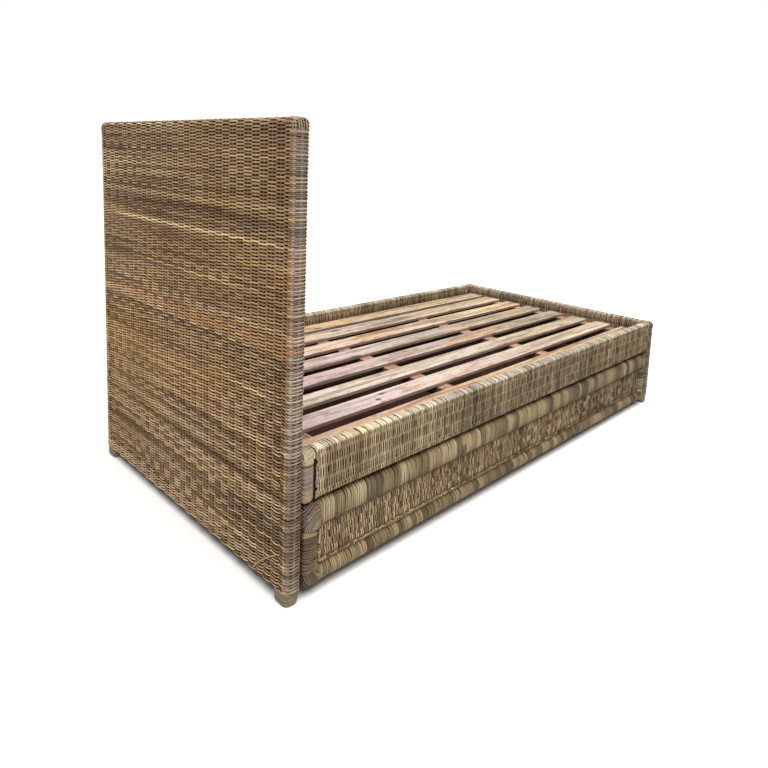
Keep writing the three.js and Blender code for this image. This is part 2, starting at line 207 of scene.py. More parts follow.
# The look of peeled cane. lie holds the place along the strand in metres, across it from -1 to 1,
# and the strand's own number. The factors of strand and group only keep the noises apart.
def caneMaterial(name, given):
    look = {**caneDefaults, **given}
    made, net = newMaterial(name)
    lie = net.add("ShaderNodeAttribute", {"attribute_name": "lie"}, None, "Vector")
    along, across, strand = net.split(lie)
    place = net.place()
    axes = net.split(place)
    spread = net.noise(net.vector(strand * 0.31, 7.0, 0.0)) * (look["group"] - 1.0) * look["groupSpread"]
    group = net.math("FLOOR", (strand + spread) / look["group"])
    joint = net.math("FLOOR", along / look["strandLength"] + group * 0.618)
    white = net.add("ShaderNodeTexWhiteNoise", {"noise_dimensions": "2D"}, {
        "Vector": net.vector(group, joint, 0.0)})
    bands = net.noise(place * look["bandScale"], 3.0, 0.6)
    patches = net.noise(place * look["patchScale"], 2.0, 0.5)
    drift = net.noise(place * look["driftScale"], 3.0, 0.6)
    streakAlong, streakAcross = look["streakScale"]
    streaks = net.noise(net.vector(along * streakAlong, across * streakAcross, strand * 3.7), 2.0, 0.6)
    fibreAlong, fibreAcross = look["fibreScale"]
    fibres = net.noise(net.vector(along * fibreAlong, across * fibreAcross, strand * 5.3), 2.0, 0.7)
    hue = net.noise(net.vector(group * 0.37, along * look["hueScale"], 4.0), 1.0, 0.5)
    tone = (look["tone"] + (bands - 0.5) * look["bandContrast"] + (patches - 0.5) * look["patchContrast"]
            + (streaks - 0.5) * look["streakContrast"])
    edgeShade, contrast = look["edgeShade"], look["strandContrast"]
    for axis, start, end, edgeMore, contrastMore, lift in look["gradients"]:
        share = net.remap(axes[axis], start, end)
        edgeShade, contrast = edgeShade + share * edgeMore, contrast + share * contrastMore
        tone = tone + share * lift
    tone = tone + (white - 0.5) * contrast
    if look["singleContrast"]:
        single = net.add("ShaderNodeTexWhiteNoise", {"noise_dimensions": "1D"}, {"W": strand})
        tone = tone + (single - 0.5) * look["singleContrast"]
    tone = tone - abs(across) ** look["edgePower"] * edgeShade
    colour = net.ramp(tone, look["tones"])
    colour = net.mix(net.remap(hue, *look["oliveSpan"], 0.0, look["olive"]), colour, look["oliveTint"])
    colour = net.mix(net.remap(hue, *look["redSpan"], 0.0, look["red"]), colour, look["redTint"])
    golden, mauve = colour * look["golden"], colour * look["mauve"]
    colour = net.mix(net.remap(drift, *look["goldenSpan"], 0.0, look["drift"]), colour, golden)
    colour = net.mix(net.remap(drift, *look["mauveSpan"], 0.0, look["drift"]), colour, mauve)
    grey = look["grey"]
    # Greyer at the side faces: partly bleached cane, partly a painted reflection of the grey sky.
    if "bleachAndSheenSide" in look:
        axis, start, end, most = look["bleachAndSheenSide"]
        grey = grey + net.remap(abs(axes[axis]), start, end, 0.0, most)
    shade = net.remap(tone, *look["shadeSpan"], *look["shades"])
    colour = net.mix(grey, colour, look["greyTone"] * shade)
    for tint, strength, spans in look["accents"]:
        mask = strength
        for axis, span in spans.items():
            mask = spanMask(net, axes[axis], *span) * mask
        colour = net.mix(mask, colour, linear(tint) * shade)
    fibreMask = net.remap(fibres, *look["fibreSpan"], 0.0, look["fibre"])
    colour = net.mix(fibreMask, colour, look["fibreTint"], "MULTIPLY") * look["gain"]
    roughness = look["roughness"] + fibres * look["fibreRoughness"]
    finishMaterial(net, colour, roughness, fibres, look["fibreDepth"], {"Specular IOR Level": look["specular"]})
    return made


def hollowMaterial():  # painted shade: near-black, for what shows between strands and for the hidden inner solids; the noise only varies the dark
    made, net = newMaterial("paintedShade")
    dust = net.noise(net.place(), 3.0, 0.6, 90.0)
    colour = net.mix(dust, (0.016, 0.007, 0.003), (0.050, 0.024, 0.010))
    finishMaterial(net, colour, 0.9, dust, 0.001, {"Specular IOR Level": 0.0})
    return made


# Geometry trees

def newTree(name, inputs):
    tree = bpy.data.node_groups.new(name, "GeometryNodeTree")
    tree.interface.new_socket("Geometry", in_out="INPUT", socket_type="NodeSocketGeometry")
    tree.interface.new_socket("Geometry", in_out="OUTPUT", socket_type="NodeSocketGeometry")
    kinds = {float: "NodeSocketFloat", int: "NodeSocketInt", tuple: "NodeSocketVector",
             bool: "NodeSocketMaterial"}
    for label, kind in inputs.items():
        tree.interface.new_socket(label, in_out="INPUT", socket_type=kinds[kind])
    net = Net(tree)
    given = tree.nodes.new("NodeGroupInput")
    return net, {label: Wire(net, given.outputs[label]) for label in ["Geometry", *inputs]}


def closeTree(net, geometry, material):
    realized = net.add("GeometryNodeRealizeInstances", None, {"Geometry": geometry})
    smooth = net.add("GeometryNodeSetShadeSmooth", None, {"Geometry": realized, "Shade Smooth": True})
    painted = net.add("GeometryNodeSetMaterial", None, {"Geometry": smooth, "Material": material})
    output = net.tree.nodes.new("NodeGroupOutput")
    net.tree.links.new(painted.socket, output.inputs["Geometry"])
    return net.tree


def placed(name, data):  # a new object of the scene, at the origin
    made = bpy.data.objects.new(name, data)
    bpy.context.scene.collection.objects.link(made)
    return made


def grown(name, mesh, tree, inputs):  # runs a tree on a mesh and keeps the result as a plain mesh
    piece = placed(name, mesh)
    modifier = piece.modifiers.new("grow", "NODES")
    modifier.node_group = tree
    sockets = {s.name: s.identifier for s in tree.interface.items_tree if s.in_out == "INPUT"}
    for label, value in inputs.items():
        modifier[sockets[label]] = value
    graph = bpy.context.evaluated_depsgraph_get()
    final = bpy.data.meshes.new_from_object(
        piece.evaluated_get(graph), preserve_all_data_layers=True, depsgraph=graph)
    piece.modifiers.clear()
    piece.data = final
    final.name = name
    return piece


def store(net, geometry, name, value, kind="FLOAT"):
    return net.add("GeometryNodeStoreNamedAttribute", {"data_type": kind, "domain": "POINT"}, {
        "Geometry": geometry, "Name": name, "Value": value})


def named(net, name, kind="FLOAT"):
    return net.add("GeometryNodeInputNamedAttribute", {"data_type": kind}, {"Name": name})


# The strand's section: x runs out of the surface, y across the strand. across keeps y for the look.
def strandSection(net, width, thickness, corners):
    ring = net.add("GeometryNodeCurvePrimitiveCircle", {"mode": "RADIUS"}, {
        "Resolution": corners, "Radius": 1.0})
    position = net.add("GeometryNodeInputPosition")
    ring = store(net, ring, "across", net.split(position)[1])
    scale = net.vector(thickness / 2.0, width / 2.0, 1.0)
    return net.add("GeometryNodeTransform", None, {"Geometry": ring, "Scale": scale})


floatForm = {"reachShare": 0.74, "points": 7, "corners": 5, "endTaper": 3.6, "slide": 0.0006, "roll": 0.10,
             "lean": 0.022, "stretch": 0.11, "swell": 0.10, "mergeWithin": 1e-5}


# Rows of strands along a section line, each float lying over one stake and hidden under the next.
def weaveTree():
    net, given = newTree("wovenFloats", {
        "Rows": int, "Columns": int, "Column pitch": float, "Length axis": tuple, "Strand width": float,
        "Strand thickness": float, "Wave depth": float, "Unevenness": float, "First": int, "Seed": int,
        "Material": bool})
    s = floatForm
    pitch, uneven, lengthAxis = given["Column pitch"], given["Unevenness"], given["Length axis"]
    half = pitch * s["reachShare"]
    line = net.add("GeometryNodeCurvePrimitiveLine", None, {
        "Start": net.vector(half * -1.0, 0.0, 0.0), "End": net.vector(half, 0.0, 0.0)})
    line = net.add("GeometryNodeResampleCurve", None, {"Curve": line, "Count": s["points"]})
    run = net.split(net.add("GeometryNodeInputPosition"))[0]
    dip = (net.math("COSINE", run / pitch * math.pi) - 1.0) * given["Wave depth"]
    line = net.add("GeometryNodeSetPosition", None, {"Geometry": line, "Offset": net.vector(0.0, 0.0, dip)})
    line = net.add("GeometryNodeSetCurveNormal", {"mode": "FREE"}, {"Curve": line, "Normal": (0.0, 0.0, 1.0)})
    line = store(net, line, "run", run)
    factor = net.add("GeometryNodeSplineParameter")
    fullness = net.math("MINIMUM", 1.0, (1.0 - abs(factor * 2.0 - 1.0)) * s["endTaper"])
    section = strandSection(net, given["Strand width"], given["Strand thickness"], s["corners"])
    oneFloat = net.add("GeometryNodeCurveToMesh", None, {
        "Curve": line, "Profile Curve": section, "Scale": fullness})
    oneFloat = net.add("GeometryNodeMergeByDistance", None, {
        "Geometry": oneFloat, "Distance": s["mergeWithin"]})
    rail = net.add("GeometryNodeMeshToCurve", None, {"Mesh": given["Geometry"]})
    points = net.add("GeometryNodeCurveToPoints", {"mode": "COUNT"}, {"Curve": rail, "Count": given["Rows"]})
    points = store(net, points, "up", points.other("Tangent"), "FLOAT_VECTOR")
    points = store(net, points, "row", net.add("GeometryNodeInputIndex"), "INT")
    copies = net.add("GeometryNodeDuplicateElements", {"domain": "POINT"}, {
        "Geometry": points, "Amount": given["Columns"]})
    copies = store(net, copies, "column", copies.other("Duplicate Index"), "INT")
    row, column = named(net, "row", "INT"), named(net, "column", "INT")
    hidden = (row + column + given["First"]) % 2.0
    shown = net.add("GeometryNodeDeleteGeometry", {"domain": "POINT"}, {
        "Geometry": copies, "Selection": net.math("GREATER_THAN", hidden, 0.5)})
    shake = net.add("FunctionNodeRandomValue", {"data_type": "FLOAT_VECTOR"}, {
        0: (-1.0, -1.0, -1.0), 1: (1.0, 1.0, 1.0), "ID": row * 997.0 + column, "Seed": given["Seed"]})
    shakeX, shakeY, shakeZ = net.split(shake)
    middle = (column - (given["Columns"] - 1.0) / 2.0) * pitch
    up = named(net, "up", "FLOAT_VECTOR")
    slide = lengthAxis * middle + up * (shakeY * uneven * s["slide"])
    shown = net.add("GeometryNodeSetPosition", None, {"Geometry": shown, "Offset": slide})
    shown = store(net, shown, "middle", middle)
    outward = net.add("ShaderNodeVectorMath", {"operation": "CROSS_PRODUCT"}, {0: up, 1: lengthAxis})
    turn = net.add("FunctionNodeAxesToRotation", {"primary_axis": "Z", "secondary_axis": "X"}, {
        "Primary Axis": outward, "Secondary Axis": lengthAxis})
    tilt = net.add("FunctionNodeEulerToRotation", None, {
        0: net.vector(shakeX * s["roll"] * uneven, 0.0, shakeZ * s["lean"] * uneven)})
    turn = net.add("FunctionNodeRotateRotation", {"rotation_space": "LOCAL"}, {
        "Rotation": turn, "Rotate By": tilt})
    size = net.vector(1.0, 1.0 + shakeX * uneven * s["stretch"], 1.0 + shakeY * uneven * s["swell"])
    floats = net.add("GeometryNodeInstanceOnPoints", None, {
        "Points": shown, "Instance": oneFloat, "Rotation": turn, "Scale": size})
    floats = net.add("GeometryNodeRealizeInstances", None, {"Geometry": floats})
    lie = net.vector(named(net, "run") + named(net, "middle"), named(net, "across"), row)
    floats = store(net, floats, "lie", lie, "FLOAT_VECTOR")
    return closeTree(net, floats, given["Material"])


# Strands along given lines. A line's points carry outward, along, fullness and strand.
def strandTree():
    net, given = newTree("laidStrands", {
        "Strand width": float, "Strand thickness": float, "Corners": int, "Material": bool})
    line = net.add("GeometryNodeMeshToCurve", None, {"Mesh": given["Geometry"]})
    line = net.add("GeometryNodeSetCurveNormal", {"mode": "FREE"}, {
        "Curve": line, "Normal": named(net, "outward", "FLOAT_VECTOR")})
    section = strandSection(net, given["Strand width"], given["Strand thickness"], given["Corners"])
    strands = net.add("GeometryNodeCurveToMesh", None, {
        "Curve": line, "Profile Curve": section, "Scale": named(net, "fullness"), "Fill Caps": True})
    strands = net.add("GeometryNodeMergeByDistance", None, {"Geometry": strands, "Distance": 1e-6})
    lie = net.vector(named(net, "along"), named(net, "across"), named(net, "strand"))
    strands = store(net, strands, "lie", lie, "FLOAT_VECTOR")
    return closeTree(net, strands, given["Material"])


weaving = weaveTree()
laying = strandTree()


def lengthAlong(points):  # from the first point to each of them
    return np.concatenate([[0.0], np.cumsum(np.linalg.norm(np.diff(points, axis=0), axis=1))])


def linesMesh(name, lines):  # each line: points, outward, fullness, strand number, closed or not
    mesh = bpy.data.meshes.new(name)
    count = sum(len(line["points"]) for line in lines)
    edges = []
    start = 0
    for line in lines:
        size = len(line["points"])
        chain = np.arange(start, start + size)
        edges.append(np.stack([chain[:-1], chain[1:]], 1))
        if line["closed"]:
            edges.append(np.array([[chain[-1], chain[0]]]))
        start += size
    edges = np.concatenate(edges)
    mesh.vertices.add(count)
    mesh.edges.add(len(edges))
    mesh.vertices.foreach_set("co", np.concatenate([line["points"] for line in lines]).ravel())
    mesh.edges.foreach_set("vertices", edges.ravel())
    alongs = [lengthAlong(line["points"]) for line in lines]
    strands = [np.full(len(line["points"]), float(line["strand"])) for line in lines]
    values = {"along": alongs, "strand": strands, "fullness": [line["fullness"] for line in lines]}
    for key, parts in values.items():
        mesh.attributes.new(key, "FLOAT", "POINT").data.foreach_set("value", np.concatenate(parts))
    outward = np.concatenate([line["outward"] for line in lines])
    mesh.attributes.new("outward", "FLOAT_VECTOR", "POINT").data.foreach_set("vector", outward.ravel())
    return mesh


# One strand for linesMesh. strand is a number that picks its colours.
def lineOf(points, outward, strand, closed=False, fullness=None):
    points = np.asarray(points, float)
    if fullness is None:
        fullness = np.ones(len(points))
    return {"points": points, "outward": np.asarray(outward, float), "strand": strand,
            "closed": closed, "fullness": np.asarray(fullness, float)}


def polyMesh(name, points):
    mesh = bpy.data.meshes.new(name)
    mesh.from_pydata([tuple(p) for p in points], [(i, i + 1) for i in range(len(points) - 1)], [])
    return mesh


def laid(name, lines, width, thickness, material, corners=5):  # strands along the given lines
    return grown(name, linesMesh(name, lines), laying, {
        "Strand width": width, "Strand thickness": thickness, "Corners": corners, "Material": material})


def shell(name, rings, material):  # a closed skin through rings of equal count
    rings = np.asarray(rings, float)
    count, last = rings.shape[1], len(rings) - 1
    faces = []
    for ring in range(last):
        for i in range(count):
            here, beside = ring * count + i, ring * count + (i + 1) % count
            faces.append((here, beside, beside + count, here + count))
    faces.append(tuple(range(count - 1, -1, -1)))
    faces.append(tuple(range(last * count, last * count + count)))
    mesh = bpy.data.meshes.new(name)
    mesh.from_pydata([tuple(p) for p in rings.reshape(-1, 3)], [], faces)
    build = bmesh.new()
    build.from_mesh(mesh)
    bmesh.ops.recalc_face_normals(build, faces=build.faces)
    build.to_mesh(mesh)
    build.free()
    mesh.materials.append(material)
    return placed(name, mesh)


# A rounded rectangle as points and outward directions, starting in the middle of its lower side.
def roundedLoop(width, height, radius, cornerSteps, inset):
    halfW, halfH = width / 2 - radius, height / 2 - radius
    corners = [(halfW, -halfH, -90), (halfW, halfH, 0), (-halfW, halfH, 90), (-halfW, -halfH, 180)]
    points, normals = [], []
    for x, y, first in corners:
        for i in range(cornerSteps + 1):
            angle = math.radians(first + 90 * i / cornerSteps)
            normal = (math.cos(angle), math.sin(angle))
            points.append((x + (radius - inset) * normal[0], y + (radius - inset) * normal[1]))
            normals.append(normal)
    return np.array(points), np.array(normals)


def resampled(points, normals, count):  # equal steps round a closed loop
    points, normals = np.vstack([points, points[:1]]), np.vstack([normals, normals[:1]])
    length = lengthAlong(points)
    at = np.arange(count) / count * length[-1]
    p = np.stack([np.interp(at, length, points[:, k]) for k in range(2)], 1)
    n = np.stack([np.interp(at, length, normals[:, k]) for k in range(2)], 1)
    return p, n / np.linalg.norm(n, axis=1, keepdims=True), at, length[-1]


def cornerArcs(left, right, top, radius, steps):  # both upper corners of a section, with the ways out of it
    places = []
    for centre, start in ((left + radius, math.pi), (right - radius, math.pi / 2)):
        for i in range(steps + 1):
            angle = start - math.pi / 2 * i / steps
            out, up = math.cos(angle), math.sin(angle)
            places.append((centre + radius * out, top - radius + radius * up, out, up))
    return places


def dress(piece, body, slotName, *nodes):
    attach(piece, body)
    if nodes:
        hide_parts(*nodes)
    return piece


def paint(node, material):
    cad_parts[node].data.materials.clear()
    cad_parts[node].data.materials.append(material)


# Woven panels at the head and the foot

layGap = 0.0002  # between a strand and the face of the solid that it is laid in
headCover, footCover = "headboard_woven_cover", "footboard_woven_cover"

panelWeave = {
    "columns": 32,
    "columnPitch": 0.0334,
    "rowPitch": 0.0042,
    "parts": 4,  # the first and the last have the finer, deeper strands of the low rows
    "strandWidth": 0.0054,
    "lowStrandWidth": 0.0046,
    "strandThickness": 0.0040,
    "waveDepth": 0.0025,
    "lowWaveDepth": 0.0034,
    "below": 0.0038,
    "edgeRadius": 0.014,
    "sectionSteps": 6,
    "coreDepth": 0.0076,
    "coreSteps": [(0.0, 0.7), (0.004, 0.25), (0.011, 0.0)],  # how far in, and how much of the radius less
    "stakeRadius": 0.0031,
    "stakeTurnRadius": 0.010,
    "stakeSink": 0.75,
    "headCornerRadius": 0.021,
    "footCornerRadius": 0.018,
}
edgeWrap = {
    "pitch": 0.0084, "width": 0.0058, "thickness": 0.0032, "corners": 6, "sink": 0.0024, "bow": 0.0008,
    "leg": 0.015, "legs": [(1.0, 0.006, 0.3), (0.75, 0.0035, 0.6), (0.45, 0.0010, 0.72), (0.2, 0.0002, 0.78)],
    "turnFullness": [1.01, 0.92, 0.83, 0.74, 0.86, 0.74, 0.83, 0.92, 1.01], "shake": 0.0003,
    "lean": 0.0006, "fullness": (0.94, 1.06), "headTop": 1.141, "footTop": 0.364, "stakeRadius": 0.0048,
    "stakeSink": 0.55, "stakeSides": 8}
cornerWrap = {
    "count": 8, "widthShare": 0.9, "onTop": [(0.034, 0.0045), (0.020, 0.0015), (0.008, 0.0)], "turnSteps": 6,
    "reach": 0.008, "reachMore": 0.006, "tuck": [(0.0, 0.001), (0.008, 0.005)], "endFullness": 0.3,
    "shake": 0.0004, "fullness": (0.9, 1.05)}

headboardLook = {
    "tone": 0.65, "strandLength": 0.62, "strandContrast": 0.40, "drift": 0.42, "driftScale": (3.0, 3.0, 13.0),
    "bandScale": (1.6, 1.6, 14.0), "bandContrast": 0.46, "patchScale": (9.0, 9.0, 5.0), "patchContrast": 0.28,
    "streakContrast": 0.34, "edgeShade": 0.42, "olive": 0.10, "red": 0.45, "grey": 0.04,
    "gradients": [(2, 0.60, 0.14, 0.60, 0.46, 0.13), (1, -0.20, 0.50, 1.00, 0.48, 0.24)],
    "bleachAndSheenSide": (1, 0.5290, 0.5350, 0.80), "greyTone": (0.385, 0.350, 0.330), "gain": (0.97, 0.890, 0.80),
    "accents": [
        ((104, 88, 70), 0.70, {2: (0.030, 0.400, 0.120), 1: (-0.560, -0.526, 0.005)}),
        ((126, 96, 70), 0.45, {2: (0.400, 1.120, 0.040), 1: (-0.5310, -0.516, 0.004)}),
        ((124, 110, 96), 0.45, {2: (1.100, 1.150, 0.025)}),
        ((158, 116, 72), 0.26, {2: (0.680, 0.860, 0.040)}),
        ((128, 108, 78), 0.24, {2: (0.960, 1.140, 0.020)}),
        ((96, 74, 54), 0.50, {2: (0.905, 0.945, 0.012), 1: (-0.60, 0.60, 0.20)}),
        ((108, 82, 56), 0.42, {2: (0.735, 0.965, 0.030), 1: (-0.05, 0.60, 0.25)}),
        ((218, 192, 148), 0.70, {2: (0.935, 0.943, 0.003), 1: (-0.56, -0.30, 0.08)}),
        ((226, 204, 162), 0.80, {2: (0.870, 0.878, 0.002), 1: (-0.50, 0.40, 0.06)}),
        ((214, 186, 140), 0.60, {2: (0.749, 0.757, 0.002), 1: (-0.30, 0.30, 0.12)}),
        ((180, 130, 72), 0.38, {2: (0.628, 0.652, 0.012)}),
        ((88, 54, 38), 0.70, {2: (0.602, 0.608, 0.002)}),
        ((178, 136, 78), 0.30, {2: (0.440, 0.590, 0.030), 1: (0.05, 0.60, 0.25)}),
        ((224, 204, 164), 0.70, {2: (0.500, 0.511, 0.002), 1: (-0.43, -0.26, 0.03)}),
        ((206, 172, 124), 0.44, {2: (0.375, 0.510, 0.040), 1: (-0.34, 0.60, 0.10)}),
        ((172, 138, 66), 0.26, {2: (0.100, 0.600, 0.060), 1: (0.20, 0.60, 0.15)}),
        ((96, 80, 64), 0.40, {2: (0.150, 0.215, 0.015), 1: (-0.60, -0.25, 0.10)}),
        ((84, 58, 40), 0.75, {2: (0.269, 0.277, 0.002), 1: (-0.528, 0.60, 0.006)}),
        ((184, 176, 172), 0.40, {2: (1.159, 1.175, 0.002)}),
        ((214, 192, 154), 0.26, {2: (0.210, 0.258, 0.008), 1: (-0.45, 0.00, 0.06)}),
        ((104, 90, 76), 0.50, {2: (0.160, 0.184, 0.007)}),
    ]}
headboardCane = caneMaterial("headboardCane", headboardLook)
headboardWrapCane = caneMaterial("headboardWrapCane", {
    **headboardLook, "tone": 0.80, "strandContrast": 0.90, "edgeShade": 1.10, "gradients": []})
stakeCane = caneMaterial("stakeCane", {
    "tone": 0.44, "strandLength": 4.0, "strandContrast": 0.2, "bandScale": (3.0, 3.0, 3.0),
    "bandContrast": 0.3, "patchScale": (7.0, 7.0, 2.0), "streakContrast": 0.3, "edgeShade": 0.2})
paintedShade = hollowMaterial()


# The section of a panel from its lower outer edge, over the top, to its lower inner edge.
def panelSection(low, high, inset, radius, share=(0.0, 1.0), steps=panelWeave["sectionSteps"]):
    left, right, top = low.x + inset, high.x - inset, high.z - inset
    bottom = low.z - panelWeave["below"]
    arcs = [(x, z) for x, z, _, _ in cornerArcs(left, right, top, radius, steps)]
    points = np.array([(left, bottom), *arcs, (right, bottom)])
    length = lengthAlong(points)
    start, end = share[0] * length[-1], share[1] * length[-1]
    inside = (length > start + 1e-6) & (length < end - 1e-6)
    at = np.concatenate([[start], length[inside], [end]])
    cut = np.stack([np.interp(at, length, points[:, k]) for k in range(2)], 1)
    return [(x, 0.0, z) for x, z in cut], length[-1]


def weavePanel(name, cover, seed):  # horizontal floats over both faces and the top
    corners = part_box(cover)
    s = panelWeave
    inset = s["strandThickness"] / 2 + layGap
    radius = s["edgeRadius"] - inset
    _, length = panelSection(*corners, inset, radius)
    rows = int(round(length / s["rowPitch"])) + 1
    for part in range(s["parts"]):
        first, last = rows * part // s["parts"], rows * (part + 1) // s["parts"]
        path, _ = panelSection(*corners, inset, radius, (first / (rows - 1), (last - 1) / (rows - 1)))
        isLow = part in (0, s["parts"] - 1)
        piece = grown(f"{name}_{part + 1}", polyMesh(name, path), weaving, {
            "Rows": last - first, "Columns": s["columns"], "Column pitch": s["columnPitch"],
            "Length axis": (0.0, 1.0, 0.0), "Strand width": s["lowStrandWidth" if isLow else "strandWidth"],
            "Strand thickness": s["strandThickness"], "Wave depth": s["lowWaveDepth" if isLow else "waveDepth"],
            "Unevenness": 1.0, "First": first % 2, "Seed": seed + part, "Material": headboardCane})
        dress(piece, "bed_frame", "weave", cover)
        print(piece.name, len(piece.data.polygons), "faces")


def panelCore(name, cover, cornerRadius):  # painted shade: a near-black skin behind the strands
    low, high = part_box(cover)
    s = panelWeave
    depth, steps = s["coreDepth"], s["coreSteps"]
    sides = [(low.x + depth + x, share) for x, share in steps]
    sides += [(high.x - depth - x, share) for x, share in reversed(steps)]
    rings = []
    for x, share in sides:
        inset = depth + share * s["edgeRadius"]
        points, _ = roundedLoop(high.y - low.y, high.z - low.z, cornerRadius, 5, inset)
        rings.append([(x, y, z + (low.z + high.z) / 2) for y, z in points])
    return shell(name, rings, paintedShade)


def stakeRods(name, paths, radius, sides=6):  # round rods along open lines
    lines = [lineOf(points, outward, 2000 + k) for k, (points, outward) in enumerate(paths)]
    return laid(name, lines, radius * 2, radius * 2, stakeCane, sides)


# Strands laid round both upright edges, each over a stake that stands in the middle of the edge.
# Every other one lies deeper, between its neighbours.
def edgeWraps(name, cover, topZ, seed, material):
    low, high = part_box(cover)
    s = edgeWrap
    rng = np.random.default_rng(seed)
    inset = s["thickness"] / 2 + layGap
    r = panelWeave["edgeRadius"] - inset
    left, right, edgeY = low.x + inset, high.x - inset, high.y - inset
    arcs = cornerArcs(left, right, edgeY, r, 3)
    turn = [*arcs[:4], ((left + right) / 2, edgeY + s["bow"], 0, 1), *arcs[4:]]
    path = [(left + sink, edgeY - r - s["leg"] * t, -1, 0, full) for t, sink, full in s["legs"]]
    path += [(*place, full) for place, full in zip(turn, s["turnFullness"])]
    path += [(right - sink, edgeY - r - s["leg"] * t, 1, 0, full) for t, sink, full in reversed(s["legs"])]
    x, y, outX, outY, full = np.array(path).T
    bottom = low.z - panelWeave["below"]
    lines = []
    for side in (-1, 1):
        for k in range(int((topZ - bottom) / s["pitch"] * 2) - 1):
            z = bottom + (k + 1.0) * s["pitch"] / 2 + rng.normal(0, s["shake"])
            lean = rng.normal(0, s["lean"]) * np.linspace(-1, 1, len(x))
            outward = np.stack([outX, side * outY, np.zeros(len(x))], 1)
            points = np.stack([x, side * y, z + lean], 1) - outward * (k % 2) * s["sink"]
            fullness = full * rng.uniform(*s["fullness"])
            lines.append(lineOf(points, outward, k + 600 * (side + 1), fullness=fullness))
    depth = s["thickness"] + s["stakeRadius"] * s["stakeSink"]
    rods = [([((left + right) / 2, side * (high.y - depth), z) for z in (low.z, topZ)], [(0, side, 0)] * 2)
            for side in (-1, 1)]
    return (laid(name, lines, s["width"], s["thickness"], material, s["corners"]),
            stakeRods(name + "_stakes", rods, s["stakeRadius"], s["stakeSides"]))


def topCornerWraps(name, cover, cornerRadius, seed, material):  # top strands turned down at both corners
    low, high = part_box(cover)
    s, edge, inset = cornerWrap, panelWeave["edgeRadius"], edgeWrap["thickness"] / 2
    rng = np.random.default_rng(seed)
    r = edge - inset
    arc, flat = math.pi / 2 * r, high.x - low.x - 2 * edge
    lines = []
    for side in (-1, 1):
        for k in range(s["count"]):
            at = (2 * arc + flat) * (k + 0.5) / s["count"]
            beta = math.pi / 2 + (max(arc - at, 0.0) - max(at - arc - flat, 0.0)) / r
            out, rise = math.cos(beta), math.sin(beta)
            x = low.x + edge + min(max(at - arc, 0.0), flat) + r * out
            dip = r - r * rise
            radius = cornerRadius - inset - dip
            turnY, turnZ, topZ = high.y - cornerRadius, high.z - cornerRadius, high.z - inset - dip
            points = [(x, turnY - step, topZ - sink) for step, sink in s["onTop"]]
            outward = [(out, 0.0, rise)] * len(points)
            for i in range(s["turnSteps"] + 1):
                phi = math.pi / 2 * i / s["turnSteps"]
                points.append((x, turnY + radius * math.sin(phi), turnZ + radius * math.cos(phi)))
                outward.append((out, rise * math.sin(phi), rise * math.cos(phi)))
            reach = s["reach"] + s["reachMore"] * rng.random()
            for drop, sink in s["tuck"]:
                points.append((x, high.y - inset - dip - sink, turnZ - reach - drop))
                outward.append((out, rise, 0.0))
            points = np.array(points) + (rng.normal(0, s["shake"]), 0.0, 0.0)
            flip = np.array([1, side, 1])
            full = np.full(len(points), rng.uniform(*s["fullness"]))
            full[0] = full[-1] = s["endFullness"]
            number = k * 3 + 51 * (side + 1) + 900
            lines.append(lineOf(points * flip, np.array(outward) * flip, number, fullness=full))
    width = edgeWrap["width"] * s["widthShare"]
    return laid(name, lines, width, edgeWrap["thickness"], material, edgeWrap["corners"])


def panelStakes(name, cover):  # the rods that the floats go over and under
    low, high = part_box(cover)
    s = panelWeave
    inset = s["strandThickness"] + s["stakeRadius"] * s["stakeSink"]
    section, _ = panelSection(low, high, inset, s["stakeTurnRadius"], steps=3)
    section = np.array(section)
    outward = np.cross(np.gradient(section, axis=0), (0.0, 1.0, 0.0))
    outward /= np.linalg.norm(outward, axis=1, keepdims=True)
    places = (np.arange(s["columns"]) - (s["columns"] - 1) / 2) * s["columnPitch"]
    return stakeRods(name, [(section + (0.0, y, 0.0), outward) for y in places], s["stakeRadius"])


def panelFrame(name, cover, cornerRadius, wrapTop, seed, sideCane, topCane):  # what both panels have
    return [
        panelCore(name + "_weave_core", cover, cornerRadius),
        *edgeWraps(name + "_edge_wraps", cover, wrapTop, seed, sideCane),
        topCornerWraps(name + "_corner_wraps", cover, cornerRadius, seed + 2, topCane)]


weavePanel("headboard_weave", headCover, 11)
headParts = panelFrame("headboard", headCover, panelWeave["headCornerRadius"], edgeWrap["headTop"], 13,
                       headboardWrapCane, headboardCane)
for part in [*headParts, panelStakes("headboard_stakes", headCover)]:
    dress(part, "bed_frame", "weave", headCover)
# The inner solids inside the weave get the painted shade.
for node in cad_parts:
    if "_stile_" in node or node.endswith("_rail") or node.endswith("_beam"):
        paint(node, paintedShade)


# Side rails and footboard: strands run round the bar in loops, over stakes laid along it

railWeave = {
    "strandPitch": 0.00395,
    "strandWidth": 0.0052,
    "strandThickness": 0.0034,
    "stakeHeights": (0.278, 0.318, 0.347, 0.380),
    "stakeRadius": 0.0026,
    "halfWaves": 12,
    "pointsPerHalfWave": 3,
    "waveDepth": 0.0048,
    "topFlat": 0.92,  # how much of the wave is gone on top
    "topFrom": 0.016,
    "topBlend": 0.010,
    "slitEvery": 6,
    "slitDepth": 0.0030,
    "topUneven": 0.0014,
    "shake": 0.0003,
    "lean": 0.0007,
    "fullness": (0.88, 1.06),
    "edgeRadius": 0.011,
    "coreDepth": 0.0074,
    "below": 0.0,
    "parts": 1,
}
footWeave = {
    **railWeave, "strandPitch": 0.0042, "halfWaves": 28, "parts": 2, "edgeRadius": 0.014, "below": 0.0060,
    "stakeHeights": (*(0.062 + 0.0265 * k for k in range(12)), 0.380), "span": (-0.528, 0.528)}

